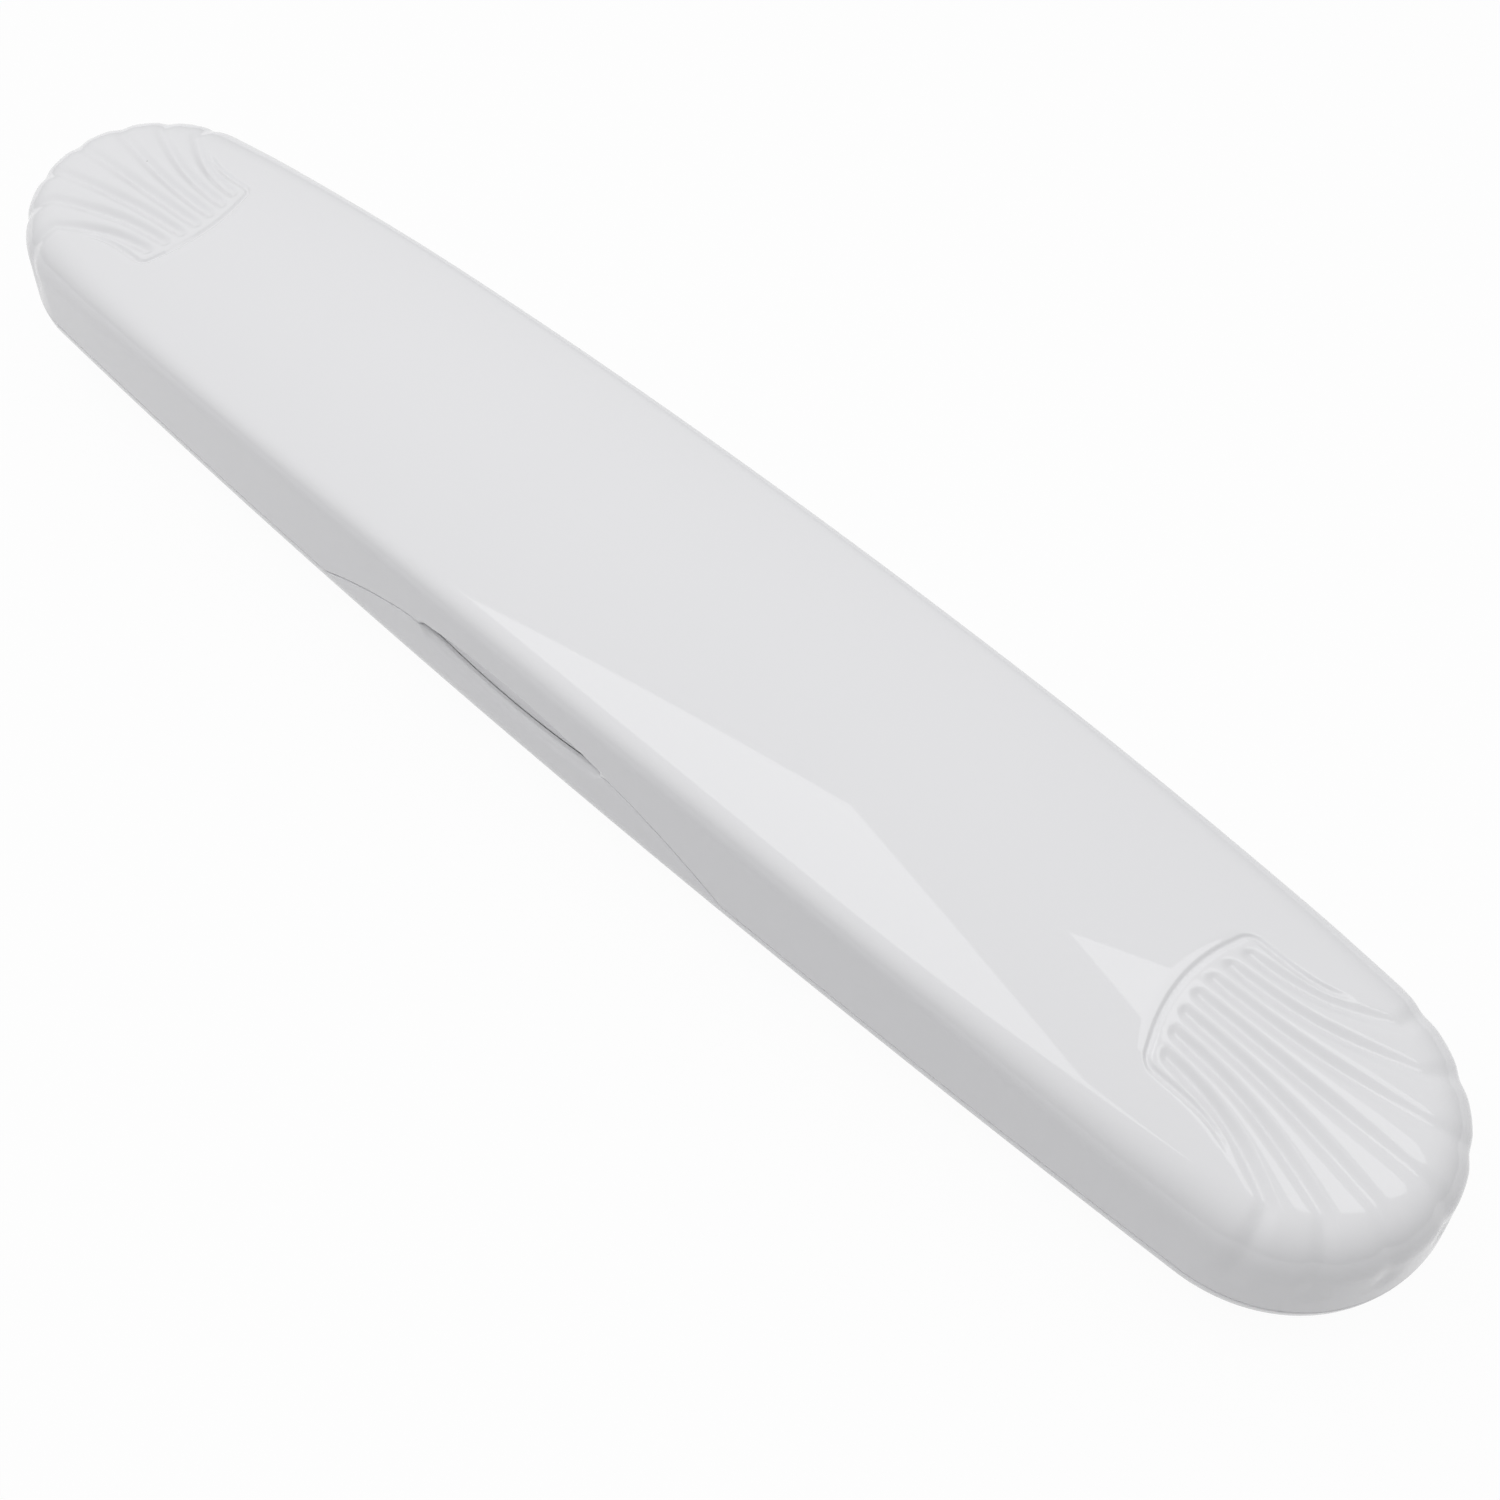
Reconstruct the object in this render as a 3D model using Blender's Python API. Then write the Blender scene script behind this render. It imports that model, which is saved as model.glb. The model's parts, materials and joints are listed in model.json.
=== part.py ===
"""A hinged travel case for one toothbrush, in white glossy plastic.

The long oval lid is crowned across and along, and a fluted shell is moulded into each of its ends.
It laps over a shallow base on a lip, and two pinned hinges join them along the back.
At the front the base rises in an arch into the lid's wall, with a dip for the thumb.

Metres, +Z up. X runs along the case, the hinges are on the +Y side and the thumb arch on the -Y side.
The origin is under the middle of the case, on the plane it stands on.
"""
import math
from functools import lru_cache

import bpy
import numpy as np
from mathutils import Matrix, Vector
from mathutils.geometry import delaunay_2d_cdt

mm = 0.001

# Overall form
case_length = 210.0 * mm
case_width = 39.4 * mm
case_height = 25.9 * mm
parting_height = 9.8 * mm
end_radius = 17.5 * mm
crown_drop = 2.6 * mm
arch_drop = 5.4 * mm
wall = 2.0 * mm
parting_gap = 0.3 * mm

# Lid section
side_lean = math.radians(7.0)
end_lean = math.radians(11.0)
side_rounding = 2.0 * mm
end_rounding = 3.0 * mm

# Base section
base_land = 1.2 * mm
base_lean = math.radians(20.0)
base_rounding = 5.0 * mm

# Lip of the lid, which slides into the rebate of the base
lip_length = 1.6 * mm
lip_thickness = 0.7 * mm
lip_clearance = 0.3 * mm

# Thumb arch at the front: it leaves a band of the lid's wall above it, and dips in its middle
arch_half_width = 32.0 * mm
arch_band = 5.3 * mm
dip_half_width = 15.5 * mm
dip_depth = 1.7 * mm
recess_depth = 0.45 * mm
recess_round = 0.4 * mm
tab_round = 0.55 * mm
tab_round_drop = 1.0 * mm

# Fluted shell on each end of the lid
flute_count = 7
flute_pitch = 2.2 * mm
flute_spread = 7.6 * mm
flute_width = 1.9 * mm
flute_depth = 0.45 * mm
flute_end_width = 2.4 * mm
flute_end_depth = 0.25 * mm
valley_depth = 0.3 * mm
valley_end_depth = 0.15 * mm
valley_fade = 4.0 * mm
shell_reach = 30.2 * mm
shell_bow = 2.3 * mm
shell_edge_gap = 2.1 * mm
shell_edge_spread = 3.5 * mm
shell_line_width = 0.8 * mm
shell_line_depth = 0.22 * mm
shell_border = 0.75 * mm
shell_flare = 0.035

# Hinges
hinge_spacing = 72.0 * mm
hinge_length = 14.0 * mm
hinge_standoff = 1.6 * mm
knuckle_radius = 1.8 * mm
knuckle_gap = 0.3 * mm
lid_knuckle_share = 0.4
pin_diameter = 1.4 * mm
pin_clearance = 0.1 * mm
arm_depth = 0.6 * mm
open_angle = math.radians(125.0)
heel_reach = 2.4 * mm
heel_thickness = 0.9 * mm
stop_gap = 0.1 * mm

# Fineness of the meshes
arch_step = 2.4 * mm
side_step = 8.0 * mm
end_columns = 20
shell_rows = 13
rounding_rows = 4
round_sides = 24
top_spacing = (6.0 * mm, 4.5 * mm)
ceiling_spacing = (14.0 * mm, 7.0 * mm)

# Derived sizes of the plan: an oval of four arcs
half_length = case_length / 2
half_width = case_width / 2
end_centre = half_length - end_radius
side_radius = (end_radius**2 - end_centre**2 - half_width**2) / (2 * (end_radius - half_width))
join_angle = math.atan2(side_radius - half_width, end_centre)
end_run = end_radius * join_angle
quarter_run = end_run + side_radius * (math.pi / 2 - join_angle)
lap = wall - lip_thickness
rebate = lap - lip_clearance
land_foot = parting_height - base_land
arch_rise = case_height - crown_drop - arch_band - parting_height
last_flute = (flute_count - 1) // 2
shell_edge = (flute_count + 1) / 2


def smooth(value):
    """Ease from 0 to 1."""
    value = np.clip(value, 0.0, 1.0)
    return value * value * (3 - 2 * value)


def outline(run):
    """Point and outward normal on the plan, at a distance counter-clockwise from the front middle."""
    run = run % (4 * quarter_run)
    quadrant = min(int(run // quarter_run), 3)
    along = run - quadrant * quarter_run
    from_tip = quarter_run - along if quadrant in (0, 2) else along
    sign_x = 1 if quadrant in (0, 1) else -1
    sign_y = 1 if quadrant in (1, 2) else -1
    if from_tip <= end_run:
        angle = from_tip / end_radius
        x = end_centre + end_radius * math.cos(angle)
        y = end_radius * math.sin(angle)
    else:
        angle = join_angle + (from_tip - end_run) / side_radius
        x = side_radius * math.cos(angle)
        y = side_radius * math.sin(angle) - (side_radius - half_width)
    normal = np.array([sign_x * math.cos(angle), sign_y * math.sin(angle)])
    return np.array([sign_x * x, sign_y * y]), normal


def top_height(x, y):
    """Height of the lid's crowned top."""
    return case_height - crown_drop * (y / half_width) ** 2 - arch_drop * (x / half_length) ** 2


def end_share(x):
    """0 along the sides of the case and 1 at its two ends."""
    return float(smooth((abs(x) - (half_length - 1.6 * end_radius)) / (1.3 * end_radius)))


def side_bow(x):
    """Distance of the plan's side arc from the long axis at a station."""
    return math.sqrt(side_radius**2 - x**2) - (side_radius - half_width)


def arch_height(x, half_span, rise):
    """Height of a shallow circular arch above its springing line, 0 outside it."""
    if abs(x) >= half_span:
        return 0.0
    radius = (half_span**2 + rise**2) / (2 * rise)
    return math.sqrt(radius**2 - x**2) - (radius - rise)


def front_rise(point, clearance):
    """Height of the thumb arch above the parting line, with its dip, 0 away from the front."""
    if point[1] >= 0:
        return 0.0
    span, rise = arch_half_width - clearance, arch_rise - clearance / 2
    if abs(point[0]) >= dip_half_width:
        return arch_height(point[0], span, rise)
    return arch_height(dip_half_width, span, rise) - arch_height(point[0], dip_half_width, dip_depth)


def lid_rim(point):
    """Lower edge of the lid's wall: flat, with the thumb arch at the front."""
    return parting_height + parting_gap / 2 + front_rise(point, 0.0)


def base_rim(point):
    """Upper edge of the base's wall, which follows the lid's."""
    return parting_height - parting_gap / 2 + front_rise(point, parting_gap)


def recess_top(point):
    """Upper edge of the recess over the dip, which carries on the thumb arch; just over the rim elsewhere."""
    arch = arch_height(point[0], arch_half_width, arch_rise) if point[1] < 0 else 0.0
    return max(parting_height + parting_gap / 2 + arch, lid_rim(point) + parting_gap)


def recess_inset(point):
    """Depth of the recess, which runs out where the dip ends."""
    return recess_depth * float(smooth((recess_top(point) - parting_gap - lid_rim(point)) / recess_round))


def quadratic(start, corner, end, share):
    """Point on a rounding that leaves start and reaches end along the lines through corner."""
    return (1 - share) ** 2 * start + 2 * share * (1 - share) * corner + share**2 * end


def wall_lean(point):
    """Lean of the lid's wall from the vertical."""
    return side_lean + end_share(point[0]) * (end_lean - side_lean)


def lid_section(run, inset, drop):
    """Wall line, corner and rounding of the lid at a place on the outline, as offset and height."""
    point, normal = outline(run)
    lean = math.tan(wall_lean(point))
    reach = side_rounding + end_share(point[0]) * (end_rounding - side_rounding)
    reach = max(reach - inset / 2, 0.5 * mm)
    offset = inset
    for _ in range(6):
        height = top_height(*(point - normal * offset)) - drop
        offset = inset + (height - parting_height) * lean
    corner = np.array([offset, height])
    down = np.array([-math.sin(wall_lean(point)), -math.cos(wall_lean(point))])
    start = corner + down * reach
    end_offset = offset + reach
    end = np.array([end_offset, top_height(*(point - normal * end_offset)) - drop])
    return point, normal, start, corner, end


def place(point, normal, offset, height):
    """Point of a section in space."""
    plan = point - normal * offset
    return np.array([plan[0], plan[1], height])


def wall_offset(point, height, inset):
    """Offset of the lid's leaning wall at a height; upright below the parting line."""
    return inset + max(height - parting_height, 0.0) * math.tan(wall_lean(point))


def base_offset(height, inset):
    """Offset of the base's wall at a height: an upright land, and below it a lean towards the foot."""
    return inset + max(land_foot - height, 0.0) * math.tan(base_lean)


class Skin:
    """Vertices and faces of one closed body, gathered ring by ring."""

    def __init__(self):
        self.points = []
        self.faces = []

    def ring(self, points):
        first = len(self.points)
        self.points.extend(points)
        return list(range(first, len(self.points)))

    def band(self, lower, upper):
        """Quads between two rings of the same count, facing right of the run."""
        count = len(lower)
        for i in range(count):
            j = (i + 1) % count
            self.faces.append((lower[i], lower[j], upper[j], upper[i]))

    def zip_rings(self, lower, lower_runs, upper, upper_runs):
        """Triangles between two rings of unlike counts that share their run."""
        i = j = 0
        total = 4 * quarter_run
        while i < len(lower) or j < len(upper):
            next_i = lower_runs[i + 1] if i + 1 < len(lower) else lower_runs[0] + total
            next_j = upper_runs[j + 1] if j + 1 < len(upper) else upper_runs[0] + total
            here, above = lower[i % len(lower)], upper[j % len(upper)]
            if j >= len(upper) or (i < len(lower) and next_i <= next_j):
                self.faces.append((here, lower[(i + 1) % len(lower)], above))
                i += 1
            else:
                self.faces.append((here, upper[(j + 1) % len(upper)], above))
                j += 1

    def cap(self, loop, height_at, spacing, upward):
        """Triangles over the inside of a loop, lifted to a crowned height; flat without a spacing."""
        edge = [Vector(self.points[i][:2]) for i in loop]
        columns, rows = (int(half_length / spacing[0]), int(half_width / spacing[1])) if spacing else (-1, -1)
        inner = []
        for a in range(-columns, columns + 1):
            for b in range(-rows, rows + 1):
                spot = Vector((a * spacing[0], b * spacing[1]))
                if inside(spot, edge) and clear_of(spot, edge, 0.35 * min(spacing)):
                    inner.append(spot)
        verts, _, faces, origins, _, _ = delaunay_2d_cdt(edge + inner, [], [list(range(len(edge)))], 1, 1e-7)
        index = []
        for vert, origin in zip(verts, origins):
            if origin and origin[0] < len(edge):
                index.append(loop[origin[0]])
            else:
                index.append(len(self.points))
                self.points.append(np.array([vert.x, vert.y, height_at(vert.x, vert.y)]))
        for face in faces:
            corners = [index[i] for i in face]
            a, b, c = (self.points[i] for i in corners[:3])
            turn = (b[0] - a[0]) * (c[1] - a[1]) - (b[1] - a[1]) * (c[0] - a[0])
            if (turn > 0) != upward:
                corners.reverse()
            self.faces.append(tuple(corners))

    def mesh_object(self, name, collection):
        mesh = bpy.data.meshes.new(name)
        mesh.from_pydata([tuple(p) for p in self.points], [], self.faces)
        mesh.validate()
        mesh.shade_smooth()
        mesh.set_sharp_from_angle(angle=math.radians(40))
        thing = bpy.data.objects.new(name, mesh)
        collection.objects.link(thing)
        return thing


def inside(spot, edge):
    """Whether a plan point lies within a closed loop."""
    hit = False
    for a, b in zip(edge, edge[1:] + edge[:1]):
        if (a.y > spot.y) != (b.y > spot.y):
            if spot.x < a.x + (spot.y - a.y) * (b.x - a.x) / (b.y - a.y):
                hit = not hit
    return hit


def clear_of(spot, edge, distance):
    """Whether a plan point keeps a distance to every segment of a loop."""
    for a, b in zip(edge, edge[1:] + edge[:1]):
        side = b - a
        share = max(0.0, min(1.0, (spot - a).dot(side) / max(side.length_squared, 1e-12)))
        if (spot - a - side * share).length < distance:
            return False
    return True


# Shell: its flutes start on a shallow arc across the lid and fan out to the end's edge

def fan_offset(place_in_fan, step, edge_step):
    """Distance from the middle line of the fan, for a step between flutes and one from the last to the edge."""
    beyond = max(abs(place_in_fan) - last_flute, 0.0) * edge_step
    return math.copysign(step * min(abs(place_in_fan), last_flute) + beyond, place_in_fan)


def shell_start(place_in_fan):
    """Start of a line of the fan, on the arc that closes the shell."""
    share = place_in_fan / shell_edge
    x = half_length - shell_reach - shell_bow * (1 - share**2)
    return np.array([x, fan_offset(place_in_fan, flute_pitch, shell_edge_gap)])


def shell_run(place_in_fan):
    """Where a line of the fan meets the outline, as a distance from the tip."""
    return fan_offset(place_in_fan, flute_spread, shell_edge_spread)


@lru_cache(maxsize=None)
def shell_line(place_in_fan):
    """Start, two control points and finish of a line of the fan, at the edge of the lid's top."""
    start = shell_start(place_in_fan)
    point, normal, _, _, end = lid_section(quarter_run + shell_run(place_in_fan), 0.0, 0.0)
    finish = point - normal * end[0]
    reach = np.linalg.norm(finish - start) / 3
    heading = np.array([1.0, shell_flare * place_in_fan])
    return start, start + heading * reach, finish - normal * reach, finish


def shell_point(place_in_fan, share):
    """Plan point on a line of the fan, which is a cubic curve."""
    start, a, b, finish = shell_line(place_in_fan)
    rest = 1 - share
    return rest**3 * start + 3 * rest**2 * share * a + 3 * rest * share**2 * b + share**3 * finish


def shell_columns():
    """Columns of the fan as kind, flute and step or share, over the border lines, flutes and lobes."""
    columns = [("edge", -1, 0.0), ("edge", -1, 0.5), ("edge", -1, 1.0), ("outer", -1, 0.5)]
    for flute in range(-last_flute, last_flute + 1):
        columns += [("flute", flute, step) for step in (-1.0, -0.6, 0.0, 0.6, 1.0)]
        if flute < last_flute:
            columns += [("lobe", flute, share) for share in (0.25, 0.5, 0.75)]
    return columns + [("outer", 1, 0.5), ("edge", 1, 1.0), ("edge", 1, 0.5), ("edge", 1, 0.0)]


def flute_half(share):
    """Half width of a flute along the fan."""
    return (flute_width + (flute_end_width - flute_width) * share) / 2


def local_pitch(place_in_fan, share, step):
    """Length of one place in the fan, measured over a small step to one side."""
    away = shell_point(place_in_fan + step, share) - shell_point(place_in_fan, share)
    return np.linalg.norm(away) / abs(step)


def fan_place(column, share):
    """Place in the fan of a column; the flutes and border lines keep their widths as the fan widens."""
    kind, where, amount = column
    if kind == "flute":
        if amount == 0.0:
            return float(where)
        pitch = local_pitch(float(where), share, math.copysign(0.5, amount))
        return where + amount * flute_half(share) / pitch
    if kind == "lobe":
        low, high = fan_place(("flute", where, 1.0), share), fan_place(("flute", where + 1, -1.0), share)
        return low + amount * (high - low)
    edge = where * shell_edge
    inner = edge - where * shell_line_width / local_pitch(edge, share, -where * 0.5)
    if kind == "edge":
        return edge + amount * (inner - edge)
    return inner + amount * (fan_place(("flute", where * last_flute, float(where)), share) - inner)


def shell_relief(fan, share, from_arc, pitch):
    """Depth of the shell below the plain lid: border line, round flutes and the valleys they end in."""
    nearest = min(max(round(fan), -last_flute), last_flute)
    half = flute_half(share)
    start = shell_line_width + shell_border + half
    bowl = min(math.hypot(abs(fan - nearest) * pitch, max(start - from_arc, 0.0)) / half, 1.0)
    flute = (flute_depth + (flute_end_depth - flute_depth) * share) * (1 - bowl**2) ** 1.25
    beside = min(abs(fan - nearest) * (2 if abs(fan) <= last_flute else 1), 1.0)
    valley = valley_depth * float(smooth(share / 0.75))
    valley += (valley_end_depth - valley_depth) * float(smooth((share - 0.6) / 0.4))
    to_edge = min(from_arc, (shell_edge - abs(fan)) * pitch)
    line = 0.5 * (1 + math.cos(math.pi * min(abs(2 * to_edge / shell_line_width - 1), 1.0)))
    line *= shell_line_depth * (1 - float(smooth((share - 0.6) / 0.25)))
    return flute + valley * (1 - beside) ** 2 + line


def shell_shares():
    """Shares along the fan, close together over the border line and the flutes' round starts."""
    length = np.linalg.norm(shell_point(0.0, 1.0) - shell_point(0.0, 0.0))
    start = shell_line_width + shell_border
    close = [0.0, shell_line_width / 2, shell_line_width, start]
    close += [start + share * flute_width for share in (0.12, 0.3, 0.6)]
    first = (start + flute_width) / length
    return [spot / length for spot in close] + list(np.linspace(first, 1.0, shell_rows))


def shell_patch():
    """Rows of points over the fan on the top, from the arc to the edge, for the +X end."""
    columns = shell_columns()
    rows = []
    length = np.zeros(len(columns))
    before = None
    for share in shell_shares():
        places = [fan_place(column, share) for column in columns]
        plan = np.array([shell_point(place_in_fan, share) for place_in_fan in places])
        if before is not None:
            length += np.linalg.norm(plan - before, axis=1)
        before = plan
        points = []
        for place_in_fan, spot, far in zip(places, plan, length):
            pitch = local_pitch(place_in_fan, share, 0.05 if place_in_fan < 0 else -0.05)
            depth = shell_relief(place_in_fan, share, far, pitch)
            points.append(np.array([spot[0], spot[1], top_height(*spot) - depth]))
        rows.append(points)
    return rows


def shell_skirt():
    """Rows of points where the shell rolls over the edge and fades down the wall, for the +X end."""
    rows = [[] for _ in range(rounding_rows + 2)]
    runs = []
    for column in shell_columns():
        place_in_fan = fan_place(column, 1.0)
        run = quarter_run + shell_run(place_in_fan)
        runs.append(run)
        point, normal, start, corner, end = lid_section(run, 0.0, 0.0)
        pitch = local_pitch(place_in_fan, 1.0, 0.05 if place_in_fan < 0 else -0.05)
        depth = shell_relief(place_in_fan, 1.0, shell_reach, pitch)
        lean = wall_lean(point)
        rows[0].append(place(point, normal, *valley_foot(start, corner)))
        for row in range(rounding_rows + 1):
            share = row / rounding_rows
            offset, height = quadratic(start, corner, end, share)
            turn = lean + share * (math.pi / 2 - lean)
            offset += depth * math.cos(turn)
            height -= depth * math.sin(turn)
            rows[row + 1].append(place(point, normal, offset, height))
    return rows, runs


def valley_foot(start, corner):
    """Offset and height on the lid's wall at which the valleys have run out."""
    return start + (start - corner) / np.linalg.norm(start - corner) * valley_fade


def turned(points):
    """The same points on the -X end: the shells are a half turn apart."""
    return [np.array([-p[0], -p[1], p[2]]) for p in points]


def side_runs(start, stop, fine):
    """Places along one side between the two shells, close together over the thumb arch."""
    runs = []
    middle = (start + stop) / 2
    if fine:
        span = arch_half_width + parting_gap
        steps = math.ceil((middle - span - start) / side_step)
        runs += [start + (middle - span - start) * i / steps for i in range(1, steps)]
        count = 2 * math.ceil(span / arch_step)
        runs += [middle - span + 2 * span * i / count for i in range(count + 1)]
        runs += [stop - (middle - span - start) * i / steps for i in range(steps - 1, 0, -1)]
    else:
        steps = math.ceil((stop - start) / side_step)
        runs += [start + (stop - start) * i / steps for i in range(1, steps)]
    return runs


def rim_runs():
    """Places round the whole outline for the rings that carry no flutes."""
    step = shell_run(shell_edge)
    end = [-step + 2 * step * i / end_columns for i in range(end_columns + 1)]
    runs = [quarter_run + value for value in end]
    runs += side_runs(runs[-1], 3 * quarter_run - step, False)
    runs += [3 * quarter_run + value for value in end]
    runs += side_runs(runs[-1], 5 * quarter_run - step, True)
    return runs


def lid_skin():
    """Lid shell: fluted outside, plain inside, with a lip that hangs below the parting line."""
    skin = Skin()
    patch = shell_patch()
    skirt, end_runs = shell_skirt()
    back = side_runs(end_runs[-1], 2 * quarter_run + end_runs[0], False)
    front = side_runs(2 * quarter_run + end_runs[-1], 4 * quarter_run + end_runs[0], True)
    runs = end_runs + back + [2 * quarter_run + run for run in end_runs] + front

    def side_points(places, row):
        """Plain wall and rounding between the shells."""
        points = []
        for run in places:
            point, normal, start, corner, end = lid_section(run, 0.0, 0.0)
            if row == 0:
                low = valley_foot(start, corner)
                floor = recess_top(point) + recess_round + parting_gap
                if low[1] < floor:
                    low = np.array([wall_offset(point, floor, 0.0), floor])
                points.append(place(point, normal, *low))
            else:
                offset, height = quadratic(start, corner, end, (row - 1) / rounding_rows)
                points.append(place(point, normal, offset, height))
        return points

    rings = []
    for row, points in enumerate(skirt):
        ring = points + side_points(back, row) + turned(points) + side_points(front, row)
        rings.append(skin.ring(ring))
    for lower, upper in zip(rings, rings[1:]):
        skin.band(lower, upper)

    top = rings[-1]
    width = len(skirt[0])
    loop = []
    for end, first in ((0, 0), (1, width + len(back))):
        edge_ring = top[first:first + width]
        rows = [turned(points) if end else points for points in patch]
        grid = [skin.ring(points) for points in rows[:-1]] + [edge_ring]
        for lower, upper in zip(grid, grid[1:]):
            for i in range(width - 1):
                skin.faces.append((upper[i], upper[i + 1], lower[i + 1], lower[i]))
        loop += [row[0] for row in grid[::-1]] + grid[0][1:-1] + [row[-1] for row in grid]
        loop += top[first + width:first + width + len(back)] if end == 0 else top[first + width:]
    skin.cap(loop, top_height, top_spacing, True)

    plain_runs = rim_runs()

    def plain_ring(offset_at):
        """Ring round the whole outline; offset_at gives a section's offset and height."""
        points = []
        for run in plain_runs:
            point, normal = outline(run)
            points.append(place(point, normal, *offset_at(run, point)))
        return skin.ring(points)

    def on_wall(height_at, inset_at):
        """Ring on the wall line at a height, set in by an amount."""
        def spot(run, point):
            height = height_at(point)
            return wall_offset(point, height, inset_at(point)), height
        return plain_ring(spot)

    rim = on_wall(lid_rim, recess_inset)
    recess = on_wall(recess_top, recess_inset)
    above = on_wall(lambda point: recess_top(point) + recess_round, lambda point: 0.0)
    skin.band(rim, recess)
    skin.band(recess, above)
    skin.zip_rings(above, plain_runs, rings[0], runs)
    lip_top = on_wall(lid_rim, lambda point: lap)
    lip_foot = plain_ring(lambda run, point: (lap, parting_height - lip_length))
    lip_inside = plain_ring(lambda run, point: (wall, parting_height - lip_length))
    inner = [lip_inside]
    for share in (0.0, 0.34, 0.67, 1.0):
        def rounding(run, point, share=share):
            _, _, start, corner, end = lid_section(run, wall, wall)
            return quadratic(start, corner, end, share)
        inner.append(plain_ring(rounding))
    skin.band(lip_top, rim)
    skin.band(lip_foot, lip_top)
    skin.band(lip_inside, lip_foot)
    for lower, upper in zip(inner, inner[1:]):
        skin.band(upper, lower)
    skin.cap(inner[-1], lambda x, y: top_height(x, y) - wall, ceiling_spacing, False)
    return skin


def base_skin():
    """Base tray: upright land, leaning wall, round bottom edge, and a rebate for the lid's lip."""
    skin = Skin()
    runs = rim_runs()
    rebate_foot = parting_height - lip_length - lip_clearance
    lip_swing = half_width + hinge_axis()[0]

    def ring(offset_at):
        points = []
        for run in runs:
            point, normal = outline(run)
            points.append(place(point, normal, *offset_at(point)))
        return skin.ring(points)

    def tab_edge(point, share):
        """Point on the round of the upper edge, which is full in the dip and small elsewhere."""
        size = max(recess_inset(point) / recess_depth, parting_gap / tab_round_drop)
        height = base_rim(point)
        low = height - size * tab_round_drop
        corner = np.array([wall_offset(point, height, 0.0), height])
        start = np.array([wall_offset(point, low, 0.0), low])
        return quadratic(start, corner, corner + np.array([size * tab_round, 0.0]), share)

    def tab_foot(point):
        """Point from which the tab's outer face leans with the lid's wall."""
        return 0.0, min(parting_height, tab_edge(point, 0.0)[1] - parting_gap / 2)

    def tab_inside(point, share):
        """Point up the tab's inner face, which curves like the swing of the lid's lip."""
        foot = parting_height - parting_gap
        rise = share * (base_rim(point) - foot)
        return rebate + rise**2 / (2 * lip_swing), foot + rise

    def rounding(inset, floor, share):
        """Point on the rounding between the leaning wall and the bottom."""
        corner = np.array([base_offset(floor, inset), floor])
        up = np.array([-math.sin(base_lean), math.cos(base_lean)])
        start = corner + up * (base_rounding - inset / 2)
        end = corner + np.array([base_rounding - inset / 2, 0.0])
        return quadratic(start, corner, end, share)

    shares = (0.0, 0.25, 0.5, 0.75, 1.0)
    outer = [ring(lambda point, share=share: rounding(0.0, 0.0, share)) for share in shares[::-1]]
    outer.append(ring(lambda point: (0.0, land_foot)))
    outer.append(ring(tab_foot))
    outer += [ring(lambda point, share=share: tab_edge(point, share)) for share in (0.0, 0.5, 1.0)]
    inner = [ring(lambda point, share=share: tab_inside(point, share)) for share in (1.0, 0.5, 0.0)]
    inner.append(ring(lambda point: (rebate, rebate_foot)))
    inner.append(ring(lambda point: (base_offset(rebate_foot, wall), rebate_foot)))
    inner += [ring(lambda point, share=share: rounding(wall, wall, share)) for share in shares]
    for lower, upper in zip(outer, outer[1:]):
        skin.band(lower, upper)
    skin.band(outer[-1], inner[0])
    for lower, upper in zip(inner, inner[1:]):
        skin.band(lower, upper)
    skin.cap(outer[0], lambda x, y: 0.0, None, False)
    skin.cap(inner[-1], lambda x, y: wall, None, True)
    return skin


def material(name, color, roughness, metallic, coat):
    """Principled material of one piece."""
    finish = bpy.data.materials.new(name)
    finish.use_nodes = True
    shader = finish.node_tree.nodes["Principled BSDF"]
    shader.inputs["Base Color"].default_value = (*color, 1.0)
    shader.inputs["Roughness"].default_value = roughness
    shader.inputs["Metallic"].default_value = metallic
    shader.inputs["Coat Weight"].default_value = coat
    return finish


def cylinder_x(name, radius, length, centre, collection):
    """Cylinder along X with its origin at its centre."""
    bpy.ops.mesh.primitive_cylinder_add(vertices=round_sides, radius=radius, depth=length)
    thing = bpy.context.active_object
    thing.name = name
    thing.data.transform(Matrix.Rotation(math.pi / 2, 4, "Y"))
    thing.location = centre
    move_to(thing, collection)
    return thing


def box(name, low, high, collection):
    """Box between two corners."""
    bpy.ops.mesh.primitive_cube_add(size=1.0)
    thing = bpy.context.active_object
    thing.name = name
    middle = [(a + b) / 2 for a, b in zip(low, high)]
    for vertex in thing.data.vertices:
        vertex.co = [c * (b - a) for c, a, b in zip(vertex.co, low, high)]
    thing.location = middle
    move_to(thing, collection)
    return thing


def move_to(thing, collection):
    """Keep an object in one collection only."""
    for holder in list(thing.users_collection):
        holder.objects.unlink(thing)
    collection.objects.link(thing)


def combine(thing, tools, operation):
    """Boolean modifier of a shell with a whole collection of tool objects."""
    modifier = thing.modifiers.new(tools.name, "BOOLEAN")
    modifier.operation = operation
    modifier.solver = "EXACT"
    modifier.operand_type = "COLLECTION"
    modifier.collection = tools
    for tool in tools.objects:
        tool.display_type = "WIRE"
        tool.hide_render = True


def hinge_axis():
    """Y and Z of the hinge line, a fixed distance behind the wall at the hinges."""
    return side_bow(hinge_spacing / 2) + hinge_standoff, parting_height


def stop_point():
    """Distances in front of and below the hinge line at which a heel meets the base's wall."""
    away = hinge_standoff - stop_gap
    down = math.sqrt(heel_reach**2 - away**2)
    if down > base_land:
        slope = math.tan(base_lean)
        away -= base_land * slope
        down = (math.sqrt((1 + slope**2) * heel_reach**2 - away**2) - away * slope) / (1 + slope**2)
        away += slope * down
    return away, down


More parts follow.
